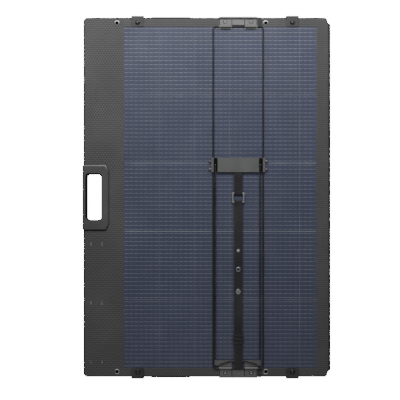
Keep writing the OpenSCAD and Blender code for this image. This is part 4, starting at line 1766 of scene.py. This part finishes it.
@dataclass(frozen=True)
class SoftLight:
    """A rectangular soft light: where it stands, what it points at, its two sides and its watts."""

    name: str
    spot: Point3
    aim: Point3
    width: float
    depth: float
    power: float

    def build(self) -> None:
        """Hangs the light, turned to its aim and out of the camera's sight."""
        data = bpy.data.lights.new(self.name, "AREA")
        data.shape = "RECTANGLE"
        data.size, data.size_y = self.width, self.depth
        data.energy = self.power
        lamp = bpy.data.objects.new(self.name, data)
        bpy.context.scene.collection.objects.link(lamp)
        lamp.location = self.spot
        beam = Vector(self.aim) - Vector(self.spot)
        lamp.rotation_euler = beam.to_track_quat("-Z", "Y").to_euler()
        lamp.visible_camera = False


@dataclass
class Studio:
    """Pale floor, soft lights and the camera."""

    target: Point = (-0.0175, -0.0074)
    height: float = 5.987
    lens: float = 200.0
    floor_tone: float = 0.9
    floor_glow: float = 16.0
    ambient: float = 0.22
    floor_half: float = 14.0
    sensor: float = 36.0
    clip_end: float = 50.0
    lights: tuple[SoftLight, ...] = (
        SoftLight("key_softbox", (-0.05, 0.95, 0.9), (0.0, 0.15, 0.0), 1.6, 0.5, 24.5),
        SoftLight("fill_softbox", (0.0, -1.3, 1.2), (0.0, -0.2, 0.0), 1.4, 0.6, 4.9))

    def build(self) -> None:
        """Makes the floor, world, lights and camera."""
        self.floor()
        self.world()
        for light in self.lights:
            light.build()
        self.camera()

    def floor(self) -> None:
        """A wide pale floor that the panel lies on."""
        bm = bmesh.new()
        bmesh.ops.create_grid(bm, x_segments=1, y_segments=1, size=self.floor_half)
        mesh = bpy.data.meshes.new("floor")
        bm.to_mesh(mesh)
        bm.free()
        tone = bpy.data.materials.new("floor_paper")
        tone.use_nodes = True
        shader = tone.node_tree.nodes["Principled BSDF"]
        shader.inputs["Base Color"].default_value = (*[self.floor_tone] * 3, 1)
        shader.inputs["Roughness"].default_value = 0.9
        shader.inputs["Emission Color"].default_value = (1, 1, 1, 1)
        pen = Pen(tone.node_tree)
        seen = pen.add("ShaderNodeLightPath").outputs["Is Camera Ray"]
        pen.feed(shader.inputs["Emission Strength"], pen.math("MULTIPLY", seen, self.floor_glow))
        mesh.materials.append(tone)
        floor = bpy.data.objects.new("floor", mesh)
        bpy.context.scene.collection.objects.link(floor)

    def world(self) -> None:
        """Even pale surroundings."""
        world = bpy.data.worlds.new("studio")
        world.use_nodes = True
        back = world.node_tree.nodes["Background"]
        back.inputs[0].default_value = (1, 1, 1, 1)
        back.inputs[1].default_value = self.ambient
        bpy.context.scene.world = world

    def camera(self) -> None:
        """A long lens straight above the panel."""
        face = front_face_height()
        data = bpy.data.cameras.new("camera")
        data.lens = self.lens
        data.sensor_width = self.sensor
        data.clip_end = self.clip_end
        camera = bpy.data.objects.new("camera", data)
        bpy.context.scene.collection.objects.link(camera)
        camera.location = (self.target[0], self.target[1], face + self.height)
        bpy.context.scene.camera = camera


def front_face_height() -> float:
    """Height of the front section's outer face."""
    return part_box("front_cover_outer")[1].z


def main() -> None:
    """Builds the panel piece by piece, then the studio."""
    logging.basicConfig(level=logging.INFO, format="%(message)s")
    for side in Side:
        sheet, stand = sheet_place(side), stand_place(side)
        for part in (SectionSheets(sheet), CellField(sheet), Grip(sheet), SnapLoops(sheet),
                     Stand(stand), Prop(stand)):
            part.build()
            LOG.info("built %s of the %s section", type(part).__name__, side.value)
    Fold().build()
    JunctionBox().build()
    Studio().build()


if __name__ == "__main__":
    main()
